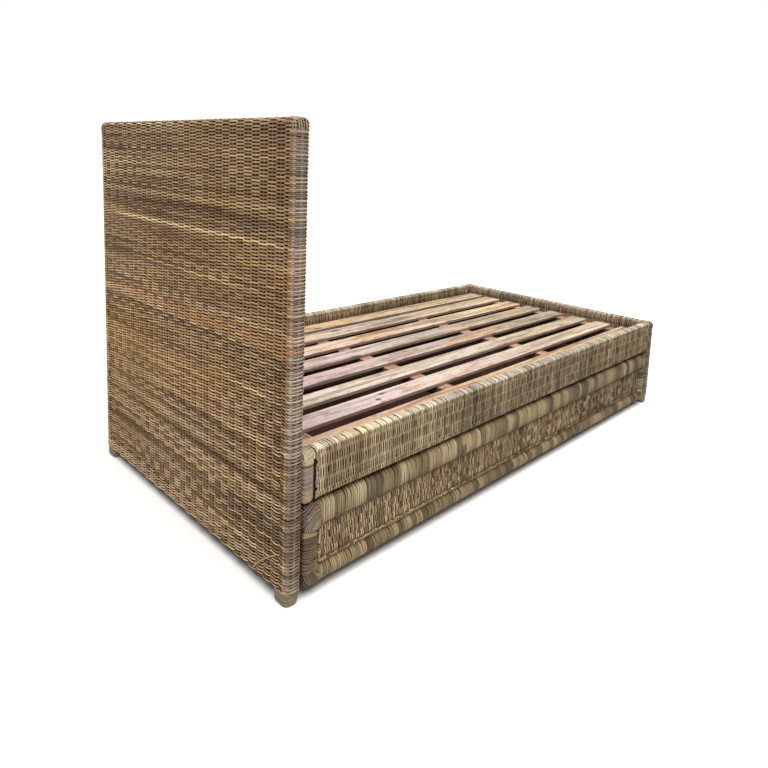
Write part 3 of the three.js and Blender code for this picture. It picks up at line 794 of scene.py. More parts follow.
railCane = caneMaterial("railCane", {
    "tone": 0.58, "strandLength": 0.33, "strandContrast": 0.52, "bandScale": (9.0, 3.0, 2.0),
    "bandContrast": 0.7, "patchScale": (40.0, 4.0, 4.0), "patchContrast": 0.50, "streakContrast": 0.25,
    "edgeShade": 0.24, "olive": 0.50, "red": 0.15, "grey": 0.12, "gain": (0.84, 0.85, 0.84),
    "gradients": [(0, -0.10, 0.85, 0.30, 0.20, -0.15)], "accents": [
        ((112, 100, 80), 0.35, {2: (0.240, 0.376, 0.004), 0: (-0.42, 0.50, 0.08)}),
        # Painted top light: the rail's top made cream, brighter than its faces.
        ((240, 228, 206), 0.76, {2: (0.380, 0.400, 0.003)}),
        ((226, 200, 130), 0.30, {2: (0.380, 0.400, 0.003), 0: (-0.86, -0.72, 0.04)}),
        ((176, 166, 160), 0.55, {2: (0.379, 0.400, 0.004), 0: (-0.50, 0.60, 0.10)}),
        # Painted light on the inner face of the far rail.
        ((206, 184, 150), 0.45, {1: (0.480, 0.508, 0.004)}),
    ]})


def onBar(axis, run, side, up):  # points of a bar that lies along X (axis 0) or along Y (axis 1)
    run = np.broadcast_to(run, np.shape(side))
    return np.stack([run, side, up] if axis == 0 else [side, run, up], 1)


def barOutline(node, axis, radius, inset, count=0, below=0.0):  # below squares the lower side and moves it down
    low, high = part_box(node)
    across = 1 - axis
    bottom = low.z - below - (radius if below else 0.0)
    outline, normals = roundedLoop(high[across] - low[across], high.z - bottom, radius, 6, inset)
    outline += np.array([(low[across] + high[across]) / 2, (bottom + high.z) / 2])
    if below:
        outline[:, 1] = np.maximum(outline[:, 1], low.z - below + inset)
    if not count:
        return outline, normals, None, 0.0
    return resampled(outline, normals, count)


def wavePhase(points, at, length, heights):  # half waves between stakes at the given heights, up and down
    top = int(np.argmax(points[:, 1] + 0.001 * points[:, 0]))  # the last one of the points on top
    rise = np.interp(heights, points[:top + 1, 1], at[:top + 1])
    fall = np.interp(heights, points[top:, 1][::-1], at[top:][::-1])[::-1]
    knots = np.concatenate([[0.0], rise, [at[top]], np.maximum(fall, at[top]), [length]])
    count = len(heights)
    up = np.arange(count) + 1.0
    return np.interp(at, knots, np.concatenate([[0.0], up, [count + 1.0], up + count + 1.0, [2 * count + 4.0]]))


def loopWeave(name, node, axis, span, seed, material, s):  # loops side by side along a bar
    rng = np.random.default_rng(seed)
    count = s["halfWaves"] * s["pointsPerHalfWave"]
    inset = s["strandThickness"] / 2 + layGap
    points, outward, at, length = barOutline(node, axis, s["edgeRadius"], inset, count, s["below"])
    phase = wavePhase(points, at, length, s["stakeHeights"])
    onTop = np.clip((points[:, 1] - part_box(node)[1].z + s["topFrom"]) / s["topBlend"], 0, 1)
    out = onBar(axis, 0.0, outward[:, 0], outward[:, 1])
    lines = []
    for k in range(int((span[1] - span[0]) / s["strandPitch"])):
        run = span[0] + (k + 0.5) * s["strandPitch"] + rng.normal(0, s["shake"])
        wave = 0.5 - 0.5 * np.cos((phase + k % 2) * math.pi)
        slit = s["slitDepth"] if k % s["slitEvery"] == 0 else (k % 2) * s["topUneven"] * rng.random()
        depth = s["waveDepth"] * wave * (1.0 - s["topFlat"] * onTop) + slit * onTop
        lean = rng.normal(0, s["lean"]) * np.sin(2 * math.pi * at / length + rng.uniform(0, 6.28))
        p = points - outward * depth[:, None]
        full = np.full(count, rng.uniform(*s["fullness"]))
        lines.append(lineOf(onBar(axis, run + lean, p[:, 0], p[:, 1]), out, k, True, full))
    made = []
    for part in range(s["parts"]):
        label = name if s["parts"] == 1 else f"{name}_{part + 1}"
        chosen = lines[len(lines) * part // s["parts"]:len(lines) * (part + 1) // s["parts"]]
        made.append(laid(label, chosen, s["strandWidth"], s["strandThickness"], material))
        print(label, len(made[-1].data.polygons), "faces")
    return made


# Painted shade: a near-black skin inside the loops of a bar.
def barCore(name, node, axis, span):
    outline, _, _, _ = barOutline(node, axis, railWeave["edgeRadius"], railWeave["coreDepth"])
    return shell(name, [onBar(axis, run, outline[:, 0], outline[:, 1]) for run in span], paintedShade)


def barStakes(name, node, axis, span, s):
    inset = s["strandThickness"] + s["stakeRadius"]
    points, outward, _, _ = barOutline(node, axis, s["edgeRadius"], inset, s["halfWaves"], s["below"])
    paths = []
    for (side, up), (outSide, outUp) in zip(points, outward):
        line = onBar(axis, span, np.full(2, side), np.full(2, up))
        paths.append((line, onBar(axis, 0.0, np.full(2, outSide), np.full(2, outUp))))
    return stakeRods(name, paths, s["stakeRadius"])


footCane = caneMaterial("footCane", {
    "tone": 0.60, "strandLength": 0.4, "strandContrast": 0.56, "bandScale": (3.0, 9.0, 2.0),
    "bandContrast": 0.6, "patchScale": (4.0, 40.0, 4.0), "patchContrast": 0.4, "streakContrast": 0.25,
    "edgeShade": 0.50, "olive": 0.35, "red": 0.25, "grey": 0.26, "bleachAndSheenSide": (1, 0.524, 0.536, 0.6),
    "gain": (0.98, 0.99, 1.02), "accents": [
        ((196, 184, 172), 0.45, {2: (0.380, 0.400, 0.003)}),
        ((186, 164, 134), 0.35, {0: (0.970, 0.992, 0.002)}),
        ((104, 94, 76), 0.80, {1: (-0.560, -0.5270, 0.004), 2: (0.000, 0.378, 0.008)}),
    ]})
footParts = [
    *loopWeave("footboard_weave", footCover, 1, footWeave["span"], 21, footCane, footWeave),
    *panelFrame("footboard", footCover, panelWeave["footCornerRadius"], edgeWrap["footTop"], 23,
                footCane, footCane),
    barStakes("footboard_stakes", footCover, 1, footWeave["span"], footWeave)]
for part in footParts:
    dress(part, "bed_frame", "weave", footCover)
print("footboard woven")


# Wrapped end posts of the rails, and the ragged edge of the weave beside them

postWrap = {
    "pitch": 0.0046, "width": 0.0054, "thickness": 0.0020, "cornerRadius": 0.012, "edgeRadius": 0.014,
    "endGap": 0.002, "leastRadius": 0.004, "shake": 0.0006, "fullness": (0.92, 1.04), "proud": 0.0,
    "roundTop": True, "coreDepth": 0.0022}
postLid = {
    "count": 7, "width": 0.0060, "thickness": 0.0024, "radius": 0.012, "inset": 0.0016, "drop": 0.020,
    "sideGap": 0.001, "flatShare": 0.6, "sideDip": 0.006, "shake": 0.0003, "fullness": (0.92, 1.05)}
raggedEdge = {
    "width": 0.0042, "thickness": 0.0030, "endGap": 0.004, "lowGap": 0.006, "topGap": 0.014, "points": 60,
    "out": 0.0034, "swing": 0.0042, "pitch": 0.0145, "drift": 0.9, "driftScale": 60, "sink": 0.0014}

postCane = caneMaterial("postCane", {
    "tone": 0.52, "strandLength": 0.4, "strandContrast": 0.3, "bandScale": (2.0, 2.0, 16.0),
    "bandContrast": 0.5, "patchScale": (4.0, 4.0, 12.0), "streakContrast": 0.25,
    "edgeShade": 0.10, "olive": 0.2, "red": 0.3, "grey": 0.30, "gain": (0.72, 0.72, 0.74), "accents": [
        ((226, 208, 172), 0.75, {2: (0.350, 0.400, 0.004)}),
        ((84, 62, 50), 0.80, {2: (0.344, 0.349, 0.002)}),
        ((164, 148, 140), 0.60, {2: (0.285, 0.342, 0.004)}),
        ((196, 174, 136), 0.50, {2: (0.250, 0.284, 0.004)}),
    ]})


def bandedWraps(name, low, high, material, seed, s):  # level wraps round an upright post
    rng = np.random.default_rng(seed)
    centre = ((low.x + high.x) / 2, (low.y + high.y) / 2)
    height = high.z - low.z - 2 * s["endGap"]
    count = int(height / s["pitch"])
    lines = []
    for k in range(count):
        z = low.z + s["endGap"] + (k + 0.5) * height / count
        shrink = 0.0
        for edge in (high.z - z, z - low.z) if s["roundTop"] else (z - low.z,):
            if edge < s["edgeRadius"]:
                shrink = s["edgeRadius"] - math.sqrt(s["edgeRadius"]**2 - (s["edgeRadius"] - edge)**2)
        radius = max(s["cornerRadius"], shrink + s["leastRadius"])
        inset = s["thickness"] / 2 + shrink - s["proud"]
        outline, normals = roundedLoop(high.x - low.x, high.y - low.y, radius, 4, inset)
        level = z + rng.normal(0, s["shake"]) * np.sin(np.linspace(0, 2 * math.pi, len(outline)))
        points = np.column_stack([outline + centre, level])
        outward = np.column_stack([normals, np.zeros(len(outline))])
        lines.append(lineOf(points, outward, k, True, np.full(len(points), rng.uniform(*s["fullness"]))))
    return laid(name, lines, s["width"], s["thickness"], material)


def lidStrands(name, low, high, material, seed):  # strands over a post's top, along Y and down both sides
    rng = np.random.default_rng(seed)
    s = postLid
    front, back, top = low.y + s["inset"], high.y - s["inset"], high.z - s["inset"]
    arcs = cornerArcs(front, back, top, s["radius"], 3)
    path = [(front, top - s["drop"], -1.0, 0.0), *arcs, (back, top - s["drop"], 1.0, 0.0)]
    y, z, outY, outZ = np.array(path).T
    ones = np.ones(len(y))
    lines = []
    for k in range(s["count"]):
        share = (k + 0.5) / s["count"]
        x = low.x + s["sideGap"] + (high.x - low.x - 2 * s["sideGap"]) * share
        beside = max(abs(share - 0.5) * 2 - s["flatShare"], 0.0) / (1.0 - s["flatShare"])
        full = ones * rng.uniform(*s["fullness"])
        points = np.column_stack([ones * x, y, z - s["sideDip"] * beside**2 + rng.normal(0, s["shake"])])
        lines.append(lineOf(points, np.column_stack([ones * 0.0, outY, outZ]), k + 40, fullness=full))
    return laid(name, lines, s["width"], s["thickness"], material)


def shrunkCopy(name, node, depth):  # a body in painted shade inside the space of a solid
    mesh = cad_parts[node].data.copy()
    mesh.name = name
    build = bmesh.new()
    build.from_mesh(mesh)
    bmesh.ops.remove_doubles(build, verts=build.verts, dist=1e-5)
    build.normal_update()
    places = [vertex.co - vertex.normal * depth for vertex in build.verts]
    for vertex, place in zip(build.verts, places):
        vertex.co = place
    build.to_mesh(mesh)
    build.free()
    mesh.materials.clear()
    mesh.materials.append(paintedShade)
    return placed(name, mesh)


def raggedEnd(name, node, endX, material):  # the turned-back strand along the head end of a rail's weave
    low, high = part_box(node)
    s = raggedEdge
    z = np.linspace(low.z + s["lowGap"], high.z - s["topGap"], s["points"])
    turn = z * 2 * math.pi / s["pitch"] + s["drift"] * np.sin(z * s["driftScale"])
    x = endX + s["out"] + s["swing"] * np.sin(turn)
    lines = []
    for faceY, side in ((low.y, -1), (high.y, 1)):
        points = np.column_stack([x, np.full(len(z), faceY - side * s["sink"]), z])
        lines.append(lineOf(points, np.tile((0.0, side, 0.0), (len(z), 1)), 90 + side))
    return laid(name, lines, s["width"], s["thickness"], material)


for rail, seed in (("side_rail_near", 31), ("side_rail_far", 41)):
    cover, post, end = rail + "_woven_cover", rail + "_post_head", rail + "_post_foot"
    span = (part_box(cover)[0].x + raggedEdge["endGap"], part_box(end)[1].x)
    dress(raggedEnd(rail + "_ragged_end", cover, span[0], railCane), "bed_frame", "weave", cover)
    for piece in loopWeave(rail + "_weave", cover, 0, span, seed, railCane, railWeave):
        dress(piece, "bed_frame", "weave", cover, end)
    dress(barCore(rail + "_weave_core", cover, 0, span), "bed_frame", "weave", cover, end)
    dress(barStakes(rail + "_stakes", cover, 0, span, railWeave), "bed_frame", "weave", cover)
    low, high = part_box(post)
    dress(bandedWraps(rail + "_post_wraps", low, high, postCane, seed + 2, postWrap), "bed_frame", "cane", post)
    dress(lidStrands(rail + "_post_lid", low, high, postCane, seed + 3), "bed_frame", "cane", post)
    dress(shrunkCopy(rail + "_post_core", post, postWrap["coreDepth"]), "bed_frame", "cane", post)
print("side rails woven")


# Feet: level wraps round the ends of the four stiles

footWrap = {
    **postWrap, "width": 0.0056, "cornerRadius": 0.015, "edgeRadius": 0.012, "proud": 0.0008, "roundTop": False,
    "toeBelow": 0.030, "top": 0.039}
footWrapCane = caneMaterial("footWrapCane", {
    "tone": 0.44, "strandLength": 0.2, "bandScale": (2.0, 2.0, 30.0), "bandContrast": 0.4, "grey": 0.40,
    "edgeShade": 0.20, "olive": 0.5, "red": 0.2, "gain": (0.66, 0.68, 0.60)})
stiles = [f"{panel}_stile_{side}" for panel in ("headboard", "footboard") for side in ("near", "far")]
for k, node in enumerate(stiles):
    vertices = np.array([v.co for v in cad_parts[node].data.vertices])
    foot = vertices[vertices[:, 2] < footWrap["toeBelow"]]
    low, high = Vector(foot.min(axis=0)), Vector(foot.max(axis=0))
    high.z = footWrap["top"]
    wraps = bandedWraps(node.replace("stile", "foot") + "_wraps", low, high, footWrapCane, 61 + k, footWrap)
    dress(wraps, "bed_frame", "cane")
print("feet wrapped")


# Trundle front: wrapped ring and recessed weave

ringWrap = {
    "pitch": 0.0068, "width": 0.0082, "thickness": 0.0018, "edgeRadius": 0.0205, "cornerRadius": 0.020,
    "openingRadius": 0.012, "depth": 0.0040, "sideBand": 0.051, "topBand": 0.069, "bottomBand": 0.043,
    "bulge": 0.006, "bulgeReach": 0.030, "firstStrand": 11, "cornerCut": 0.4, "cornerTightness": 0.25,
    "slip": 0.0005, "sway": 0.0009, "slimShare": 0.06, "slim": 0.80, "fullness": (0.96, 1.06)}
ringCross = {
    "pitch": 0.0054, "width": 0.0066, "rise": 0.0012, "first": 0.003, "lean": 0.04, "slack": 0.0006,
    "points": 26, "over": 0.06, "tuck": 0.0040, "rimGap": 0.0005, "cornerCut": 0.42, "openingShare": 0.41,
    "fullness": (0.92, 1.06)}
infillWeave = {
    "pitch": 0.0038, "columns": 4, "columnPitch": 0.0216, "top": 0.168, "width": 0.0052, "thickness": 0.0034,
    "waveDepth": 0.0029, "unevenness": 3.0, "sink": 0.0024, "sideGap": 0.003, "coreDepth": 0.0060}
infillLoops = {
    "pitch": 0.0088, "width": 0.0031, "thickness": 0.0024, "pointsPerTurn": 10, "swing": 0.0030,
    "proud": 0.0006, "wave": 0.0034, "sideGap": 0.004, "lowRun": (0.0100, 0.0058), "sideFrom": 0.012,
    "sideRun": (0.0034, 0.0018), "uneven": (0.3, 1.4)}

ringLook = {
    "tone": 0.60, "group": 3.6, "strandLength": 5.0, "strandContrast": 0.56, "singleContrast": 0.22,
    "gradients": [(0, -0.30, 0.80, 0.60, 0.10, -0.12)], "gain": (0.67, 0.665, 0.60),
    "bandScale": (6.0, 2.0, 6.0), "bandContrast": 0.4, "patchScale": (24.0, 3.0, 24.0), "patchContrast": 0.25,
    "streakScale": (5.0, 3.2), "streakContrast": 0.60, "edgeShade": 0.30, "olive": 0.45, "red": 0.22,
    "grey": 0.14, "accents": [
        ((136, 121, 92), 0.70, {0: (-1.10, -0.942, 0.008), 2: (0.136, 0.172, 0.008)}),
        ((98, 80, 68), 0.80, {0: (-1.10, -0.942, 0.010), 2: (0.020, 0.128, 0.006)}),
        ((158, 142, 132), 0.75, {0: (-1.10, -0.942, 0.006), 2: (0.176, 0.260, 0.006)}),
        # Painted shade on the ring's left side face, which is reddish.
        ((86, 52, 36), 0.85, {0: (-1.10, -0.9785, 0.002), 2: (0.020, 0.195, 0.012)}),
        # Painted highlight on the upper roll of the top band, then painted shade below it.
        ((178, 164, 130), 0.35, {2: (0.204, 0.232, 0.012), 0: (-0.93, 1.10, 0.010)}),
        ((104, 90, 70), 0.35, {2: (0.170, 0.190, 0.012), 0: (-0.93, 1.10, 0.010)}),
        ((112, 94, 68), 0.40, {2: (0.015, 0.066, 0.004), 0: (-0.90, 0.40, 0.100)}),
    ]}
ringCane = caneMaterial("ringCane", ringLook)
crossCane = caneMaterial("crossCane", {
    **ringLook, "tone": 0.56, "group": 1.0, "strandContrast": 0.34, "singleContrast": 0.0, "edgeShade": 0.50})

infillCane = caneMaterial("infillCane", {
    "tone": 0.61, "strandLength": 0.12, "strandContrast": 0.68, "bandScale": (7.0, 2.0, 4.0),
    "bandContrast": 0.5, "patchScale": (26.0, 4.0, 14.0), "patchContrast": 0.45, "streakContrast": 0.25,
    "edgeShade": 0.36, "olive": 0.45, "red": 0.16, "grey": 0.10, "gain": (0.78, 0.76, 0.70),
    "gradients": [(0, -0.20, 0.65, 0.20, 0.24, -0.17)]})
# Painted shade: the dark plate behind the infill, seen through its slits.
slitShadeCane = caneMaterial("slitShadeCane", {
    "tone": 0.20, "patchScale": (60.0, 4.0, 60.0), "patchContrast": 0.5, "bandContrast": 0.2, "olive": 0.1,
    "red": 0.4, "grey": 0.0})
loopCane = caneMaterial("loopCane", {
    "tone": 0.62, "strandLength": 0.03, "strandContrast": 0.6, "bandScale": (9.0, 2.0, 9.0),
    "bandContrast": 1.3, "patchScale": (60.0, 4.0, 60.0), "patchContrast": 0.60, "olive": 0.45, "red": 0.15,
    "gradients": [(0, -0.70, 0.50, 0.40, 0.10, -0.24)], "grey": 0.10, "gain": (0.84, 0.84, 0.76), "accents": [
        ((190, 172, 138), 0.25, {0: (-0.930, -0.620, 0.050)}),
    ]})


def outerCorner(reachIn, reachOut, radius, count):  # points from one side, round a corner, to the next side
    legIn, arc, legOut = reachIn - radius, radius * math.pi / 2, reachOut - radius
    made = []
    for at in (np.arange(count) + 0.5) / count * (legIn + arc + legOut):
        if at < legIn:
            made.append((at - reachIn, 0.0))
        elif at < legIn + arc:
            angle = (at - legIn) / radius
            made.append((radius * math.sin(angle) - radius, radius - radius * math.cos(angle)))
        else:
            made.append((0.0, radius + at - legIn - arc))
    return made


# Where each strand of the band crosses its outer and its inner side, round the ring, how tight it lies
# and how far its middle slips.
def ringStations(low, high, s):
    width, height = high.x - low.x, high.z - low.z
    tight = s["openingRadius"]
    bands = [s["bottomBand"], s["sideBand"], s["topBand"], s["sideBand"]]
    corners = np.array([(width, 0.0), (width, height), (0.0, height), (0.0, 0.0)])
    runs = np.array([(1.0, 0.0), (0.0, 1.0), (-1.0, 0.0), (0.0, -1.0)])
    stations = []
    for k in range(4):
        run, inward = runs[k], runs[(k + 1) % 4]
        start, end = corners[k - 1], corners[k]
        before, band, after = bands[k - 1], bands[k], bands[(k + 1) % 4]
        first, last = before + tight, math.dist(start, end) - after - tight
        count = int(round((last - first) / s["pitch"]))
        for at in first + (np.arange(count) + 0.5) / count * (last - first):
            outer = start + run * at
            bulge = math.exp((first - at) / s["bulgeReach"]) - math.exp((at - last) / s["bulgeReach"])
            stations.append((outer, outer + inward * band, 1.0, bulge * s["bulge"]))
        count = int(round((after + band + 2 * tight - s["cornerCut"] * s["cornerRadius"]) / s["pitch"]))
        fan = outerCorner(after + tight, band + tight, s["cornerRadius"], count)
        centre = end - run * (after + tight) + inward * (band + tight)
        for i, (alongRun, alongInward) in enumerate(fan):
            angle = math.pi / 2 * (i + 0.5) / count
            inner = centre + tight * (run * math.sin(angle) - inward * math.cos(angle))
            outer = end + run * alongRun + inward * alongInward
            stations.append((outer, inner, s["cornerTightness"], 0.0))
    middle = np.array((width, height)) / 2
    return [(outer - middle, inner - middle, *rest) for outer, inner, *rest in stations]


def ringWraps(name, node, seed):  # the flat strand wound round the band
    low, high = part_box(node)
    s = ringWrap
    rng = np.random.default_rng(seed)
    centre, depth = (low + high) / 2, high.y - low.y
    lines = []
    for k, (outer, inner, tightness, bulge) in enumerate(ringStations(low, high, s)):
        width = math.dist(outer, inner)
        wayX, wayZ = (outer - inner) / width
        middle = (outer + inner) / 2
        outline, normals = roundedLoop(width, depth, s["edgeRadius"], 4, s["thickness"] / 2)
        out = outline[:, 0] / width  # from -0.5 at the inner side to 0.5 at the outer one
        slip = rng.normal(0, s["slip"]) + rng.normal(0, s["sway"]) * np.sin(out * math.pi)
        slip = slip - bulge * (1.0 - (out * 2.0)**2)
        points = np.column_stack([
            centre.x + middle[0] + outline[:, 0] * wayX - wayZ * slip,
            centre.y + outline[:, 1],
            centre.z + middle[1] + outline[:, 0] * wayZ + wayX * slip])
        outward = np.column_stack([normals[:, 0] * wayX, normals[:, 1], normals[:, 0] * wayZ])
        crowd = tightness + (1.0 - tightness) * (0.5 + out)
        slim = s["slim"] if rng.random() < s["slimShare"] else rng.uniform(*s["fullness"])
        lines.append(lineOf(points, outward, k + s["firstStrand"], True, crowd * slim))
    return laid(name, lines, s["width"], s["thickness"], ringCane)


def edgeDistance(point, half, radius):  # inward from a rounded outline round the origin, and the way out
    q = np.abs(point) - half + radius
    out = np.maximum(q, 0.0)
    if not out.any():
        out = np.array([q[0] > q[1], q[0] <= q[1]], float)
    inward = radius - np.linalg.norm(np.maximum(q, 0.0)) - min(max(q), 0.0)
    return inward, out / np.linalg.norm(out) * np.sign(point)


def cornerCrosses(name, node, seed):  # strands laid across the corners of the ring, over its wraps
    low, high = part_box(node)
    s, ring = ringCross, ringWrap
    rng = np.random.default_rng(seed)
    middle = np.array((low.x + high.x, low.z + high.z)) / 2
    half = np.array((high.x - low.x, high.z - low.z)) / 2
    radius, over = ring["edgeRadius"], s["over"]
    lines = []
    for corner, (signX, signZ) in enumerate(((-1, 1), (1, 1), (-1, -1), (1, -1))):
        band = ring["topBand"] if signZ > 0 else ring["bottomBand"]
        centre = half - np.array((ring["sideBand"], band))
        reach = math.hypot(ring["sideBand"], band) - ring["cornerRadius"] * s["cornerCut"]
        for k in range(int(reach / s["pitch"])):
            far = s["first"] + k * s["pitch"]
            inner = far + ring["openingRadius"] * s["openingShare"]
            lean, slack = rng.normal(0, s["lean"]), rng.normal(0, s["slack"])
            points, outward = [], []
            for share in np.linspace(-over, 1 + over, s["points"]):
                angle = share * math.pi / 2 + lean * share * (1 - share)
                place = centre + (far + slack) * np.array((math.cos(angle), math.sin(angle)))
                inward, way = edgeDistance(place, half, ring["cornerRadius"])
                if inward < s["rimGap"]:
                    continue
                back = max((radius - min(inward, inner)) / radius, 0.0)
                rise = math.sqrt(1.0 - back * back)
                way = way if inward < inner else -way
                lift = s["rise"] - s["tuck"] * max(abs(share - 0.5) - 0.5 + over, 0.0) / (2 * over)
                place = place + way * back * lift
                y = low.y + radius - rise * (radius + lift)
                points.append((middle[0] + signX * place[0], y, middle[1] + signZ * place[1]))
                outward.append((back * way[0] * signX, -rise, back * way[1] * signZ))
            if len(points) > 3:
                full = np.full(len(points), rng.uniform(*s["fullness"]))
                lines.append(lineOf(points, outward, 532 + corner * 97 + 0.6 * k, False, full))
    return laid(name, lines, s["width"], ring["thickness"], crossCane)


def infillFloats(name, node, seed):  # upright floats of the panel set into the ring
    low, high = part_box(node)
    s = infillWeave
    y, z = low.y + s["sink"], s["top"] - s["columns"] * s["columnPitch"] / 2
    path = [(low.x + s["sideGap"], y, z), (high.x - s["sideGap"], y, z)]
    return grown(name, polyMesh(name, path), weaving, {
        "Rows": int((high.x - low.x) / s["pitch"]), "Columns": s["columns"], "Column pitch": s["columnPitch"],
        "Length axis": (0.0, 0.0, 1.0), "Strand width": s["width"], "Strand thickness": s["thickness"],
        "Wave depth": s["waveDepth"], "Unevenness": s["unevenness"], "First": 0, "Seed": seed,
        "Material": infillCane})


# The strands turned back in loops along the lower and the left edge of the weave.
def infillBorder(name, node, seed):
    low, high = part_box(node)
    s = infillLoops
    rng = np.random.default_rng(seed)
    (lowMiddle, lowTall), (sideMiddle, sideTall) = s["lowRun"], s["sideRun"]
    edges = [(low.x + s["sideGap"], high.x - s["sideGap"], low.z + lowMiddle, lowTall),
             (low.z + s["sideFrom"], infillWeave["top"], low.x + sideMiddle, sideTall)]
    lines = []
    for edge, (start, end, middle, tall) in enumerate(edges):
        loops = int((end - start) / s["pitch"])
        turn = np.linspace(0.0, loops * 2 * math.pi, loops * s["pointsPerTurn"])
        uneven = np.interp(turn, np.arange(loops + 1) * 2 * math.pi, rng.uniform(*s["uneven"], loops + 1))
        at = start + turn / turn[-1] * (end - start) + s["swing"] * uneven * np.sin(turn)
        at = np.clip(at, start, end)
        sideways = middle + tall * uneven * np.cos(turn)
        y = low.y - s["proud"] + s["wave"] * (0.5 - 0.5 * np.cos(turn + 0.5))
        points = np.column_stack([at, y, sideways] if edge == 0 else [sideways, y, at])
        lines.append(lineOf(points, np.tile((0.0, -1.0, 0.0), (len(points), 1)), 70 + edge))
    return laid(name, lines, s["width"], s["thickness"], loopCane)


ringNode, panelNode = "trundle_front_wrapped_frame", "trundle_front_woven_panel"
low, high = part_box(panelNode)
plateRings = [[(x, y, z) for x, z in ((low.x, low.z), (high.x, low.z), (high.x, high.z), (low.x, high.z))]
              for y in (low.y + infillWeave["coreDepth"], high.y)]
for part in (
        ringWraps("trundle_front_wraps", ringNode, 51),
        cornerCrosses("trundle_front_crosses", ringNode, 52),
        shrunkCopy("trundle_front_core", ringNode, ringWrap["depth"])):
    dress(part, "trundle", "cane", ringNode)
for part in (
        infillFloats("trundle_front_weave", panelNode, 53),
        infillBorder("trundle_front_border", panelNode, 57),
        shell("trundle_front_weave_core", plateRings, slitShadeCane)):
    dress(part, "trundle", "weave", panelNode)
print("trundle front woven")


# Timber

plankNoises = {  # scales along and across the plank, shift by the seed, detail and roughness
    "grain": (1.3, 48.0, 1.0, 3.0, 0.62), "fine": (14.0, 520.0, 1.0, 2.0, 0.6),
    "stains": (2.6, 11.0, 1.7, 3.0, 0.55), "honey": (1.9, 7.0, 3.1, 3.0, 0.6),
    "smudge": (9.0, 44.0, 1.0, 5.0, 0.72), "specks": (42.0, 170.0, 1.0, 3.0, 0.65)}
plankLayers = [  # noise, where it begins to count and where it counts in full, strength, tint and blend
    ("stains", 0.52, 0.70, "stain", "stainTint", "MIX"),
    ("stains", 0.45, 0.30, "bleach", "bleachTint", "MIX"),
    ("grain", 0.42, 0.64, "grain", "grainTint", "MULTIPLY"),
    ("fine", 0.42, 0.72, "fine", "fineTint", "MULTIPLY"),
    ("smudge", 0.49, 0.64, "smudge", "smudgeTint", "MULTIPLY"),
    ("specks", 0.55, 0.68, "smudge", "speckTint", "MULTIPLY")]


def plankMaterial(name, look):
    made, net = newMaterial(name)
    place, facing = net.place(), net.add("ShaderNodeTexCoord", None, None, "Normal")
    x, y, z = net.split(place)
    run, across = (x, y) if look["alongX"] else (y, x)
    seed = look["seed"]
    warp = net.noise(net.vector(run * 2.0, across * 6.0, z * 6.0 + seed)) * look["warp"]
    masks = {}
    for label, (runScale, acrossScale, shift, detail, roughness) in plankNoises.items():
        bend = warp if label == "grain" else 0.0
        at = net.vector(run * runScale + seed * shift, across * acrossScale + bend, z * acrossScale)
        masks[label] = net.noise(at, detail, roughness)
    drift = net.noise(net.vector(run * 1.1 + seed * 2.3, across * 2.0, 3.0))
    share = net.remap(run + (drift - 0.5) * look["drift"], *look["tintSpan"])
    colour = net.mix(share, look["headTint"], look["footTint"])
    honeyed = net.remap(masks["honey"], *look["honeySpan"], 0.0, look["honey"])
    colour = net.mix(honeyed * net.remap(run, *look["honeyRun"]), colour, look["honeyTint"])
    for label, start, end, most, tint, blend in plankLayers:
        mask = net.remap(masks[label], start, end, 0.0, look[most])
        colour = net.mix(mask, colour, look[tint], blend)
    # Painted highlight along the slat's arrises, broken up by noise.
    if look["edges"]:
        middle, half = look["edges"]
        edge = net.remap(abs(across - middle), *(half - gap for gap in look["edgeSpan"]))
        edge = edge * net.remap(masks["smudge"], *look["edgeHighlightBreak"]) * look["edge"]
        colour = net.mix(edge, colour, look["edgeHighlightTint"])
    knots = net.add("ShaderNodeTexVoronoi", {"feature": "F1"}, {
        "Vector": net.vector(run * 3.1 + seed, across * 9.0, 0.5), "Scale": 1.0})
    knot = net.remap(knots, *look["knotSpan"], 0.0, look["knots"])
    for knotX, knotY in look["knotPlaces"]:
        away = net.math("SQRT", ((x - knotX) * look["knotLength"]) ** 2.0 + (y - knotY) ** 2.0)
        knot = net.math("MAXIMUM", knot, net.remap(away, *look["placedSpan"], 0.0, look["placed"]))
    colour = net.mix(knot, colour, look["knotTint"])
    side = net.remap(abs(net.split(facing)[2]), *look["sideSpan"])
    colour = net.mix(side * look["sideShade"], colour, look["sideTint"]) * look["albedo"]
    roughness = look["roughness"] + masks["fine"] * look["fineRoughness"]
    relief = masks["grain"] * 0.6 + masks["fine"] * 0.4
    finishMaterial(net, colour, roughness, relief, look["depth"], {"Specular IOR Level": look["specular"]})
    return made


plankDefaults = {
    "alongX": True, "warp": 2.6, "drift": 1.1, "tintSpan": (-0.75, 0.85),
    "smudge": 0.85, "smudgeTint": (0.58, 0.48, 0.40), "speckTint": (0.50, 0.42, 0.36),
    "stain": 0.65, "stainTint": linear((150, 118, 96)), "bleach": 0.55, "bleachTint": linear((226, 210, 192)),
    "grain": 0.80, "grainTint": (0.50, 0.43, 0.39), "fine": 0.45, "fineTint": (0.62, 0.57, 0.53),
    "honey": 0.0, "honeySpan": (0.46, 0.60), "honeyRun": (-0.62, -0.15), "honeyTint": linear((214, 182, 134)),
    "edges": None, "edge": 0.6, "edgeSpan": (0.0032, 0.0004), "edgeHighlightBreak": (0.60, 0.40),
    "edgeHighlightTint": linear((236, 222, 204)), "knots": 0.8, "knotSpan": (0.11, 0.05), "knotPlaces": [],
    "knotLength": 0.6, "placed": 0.85, "placedSpan": (0.009, 0.005), "knotTint": (0.060, 0.042, 0.036),
    "sideShade": 0.80, "sideSpan": (0.75, 0.25), "sideTint": linear((142, 108, 94)), "albedo": 0.93,
    "roughness": 0.62, "fineRoughness": 0.25, "depth": 0.0006, "specular": 0.2}

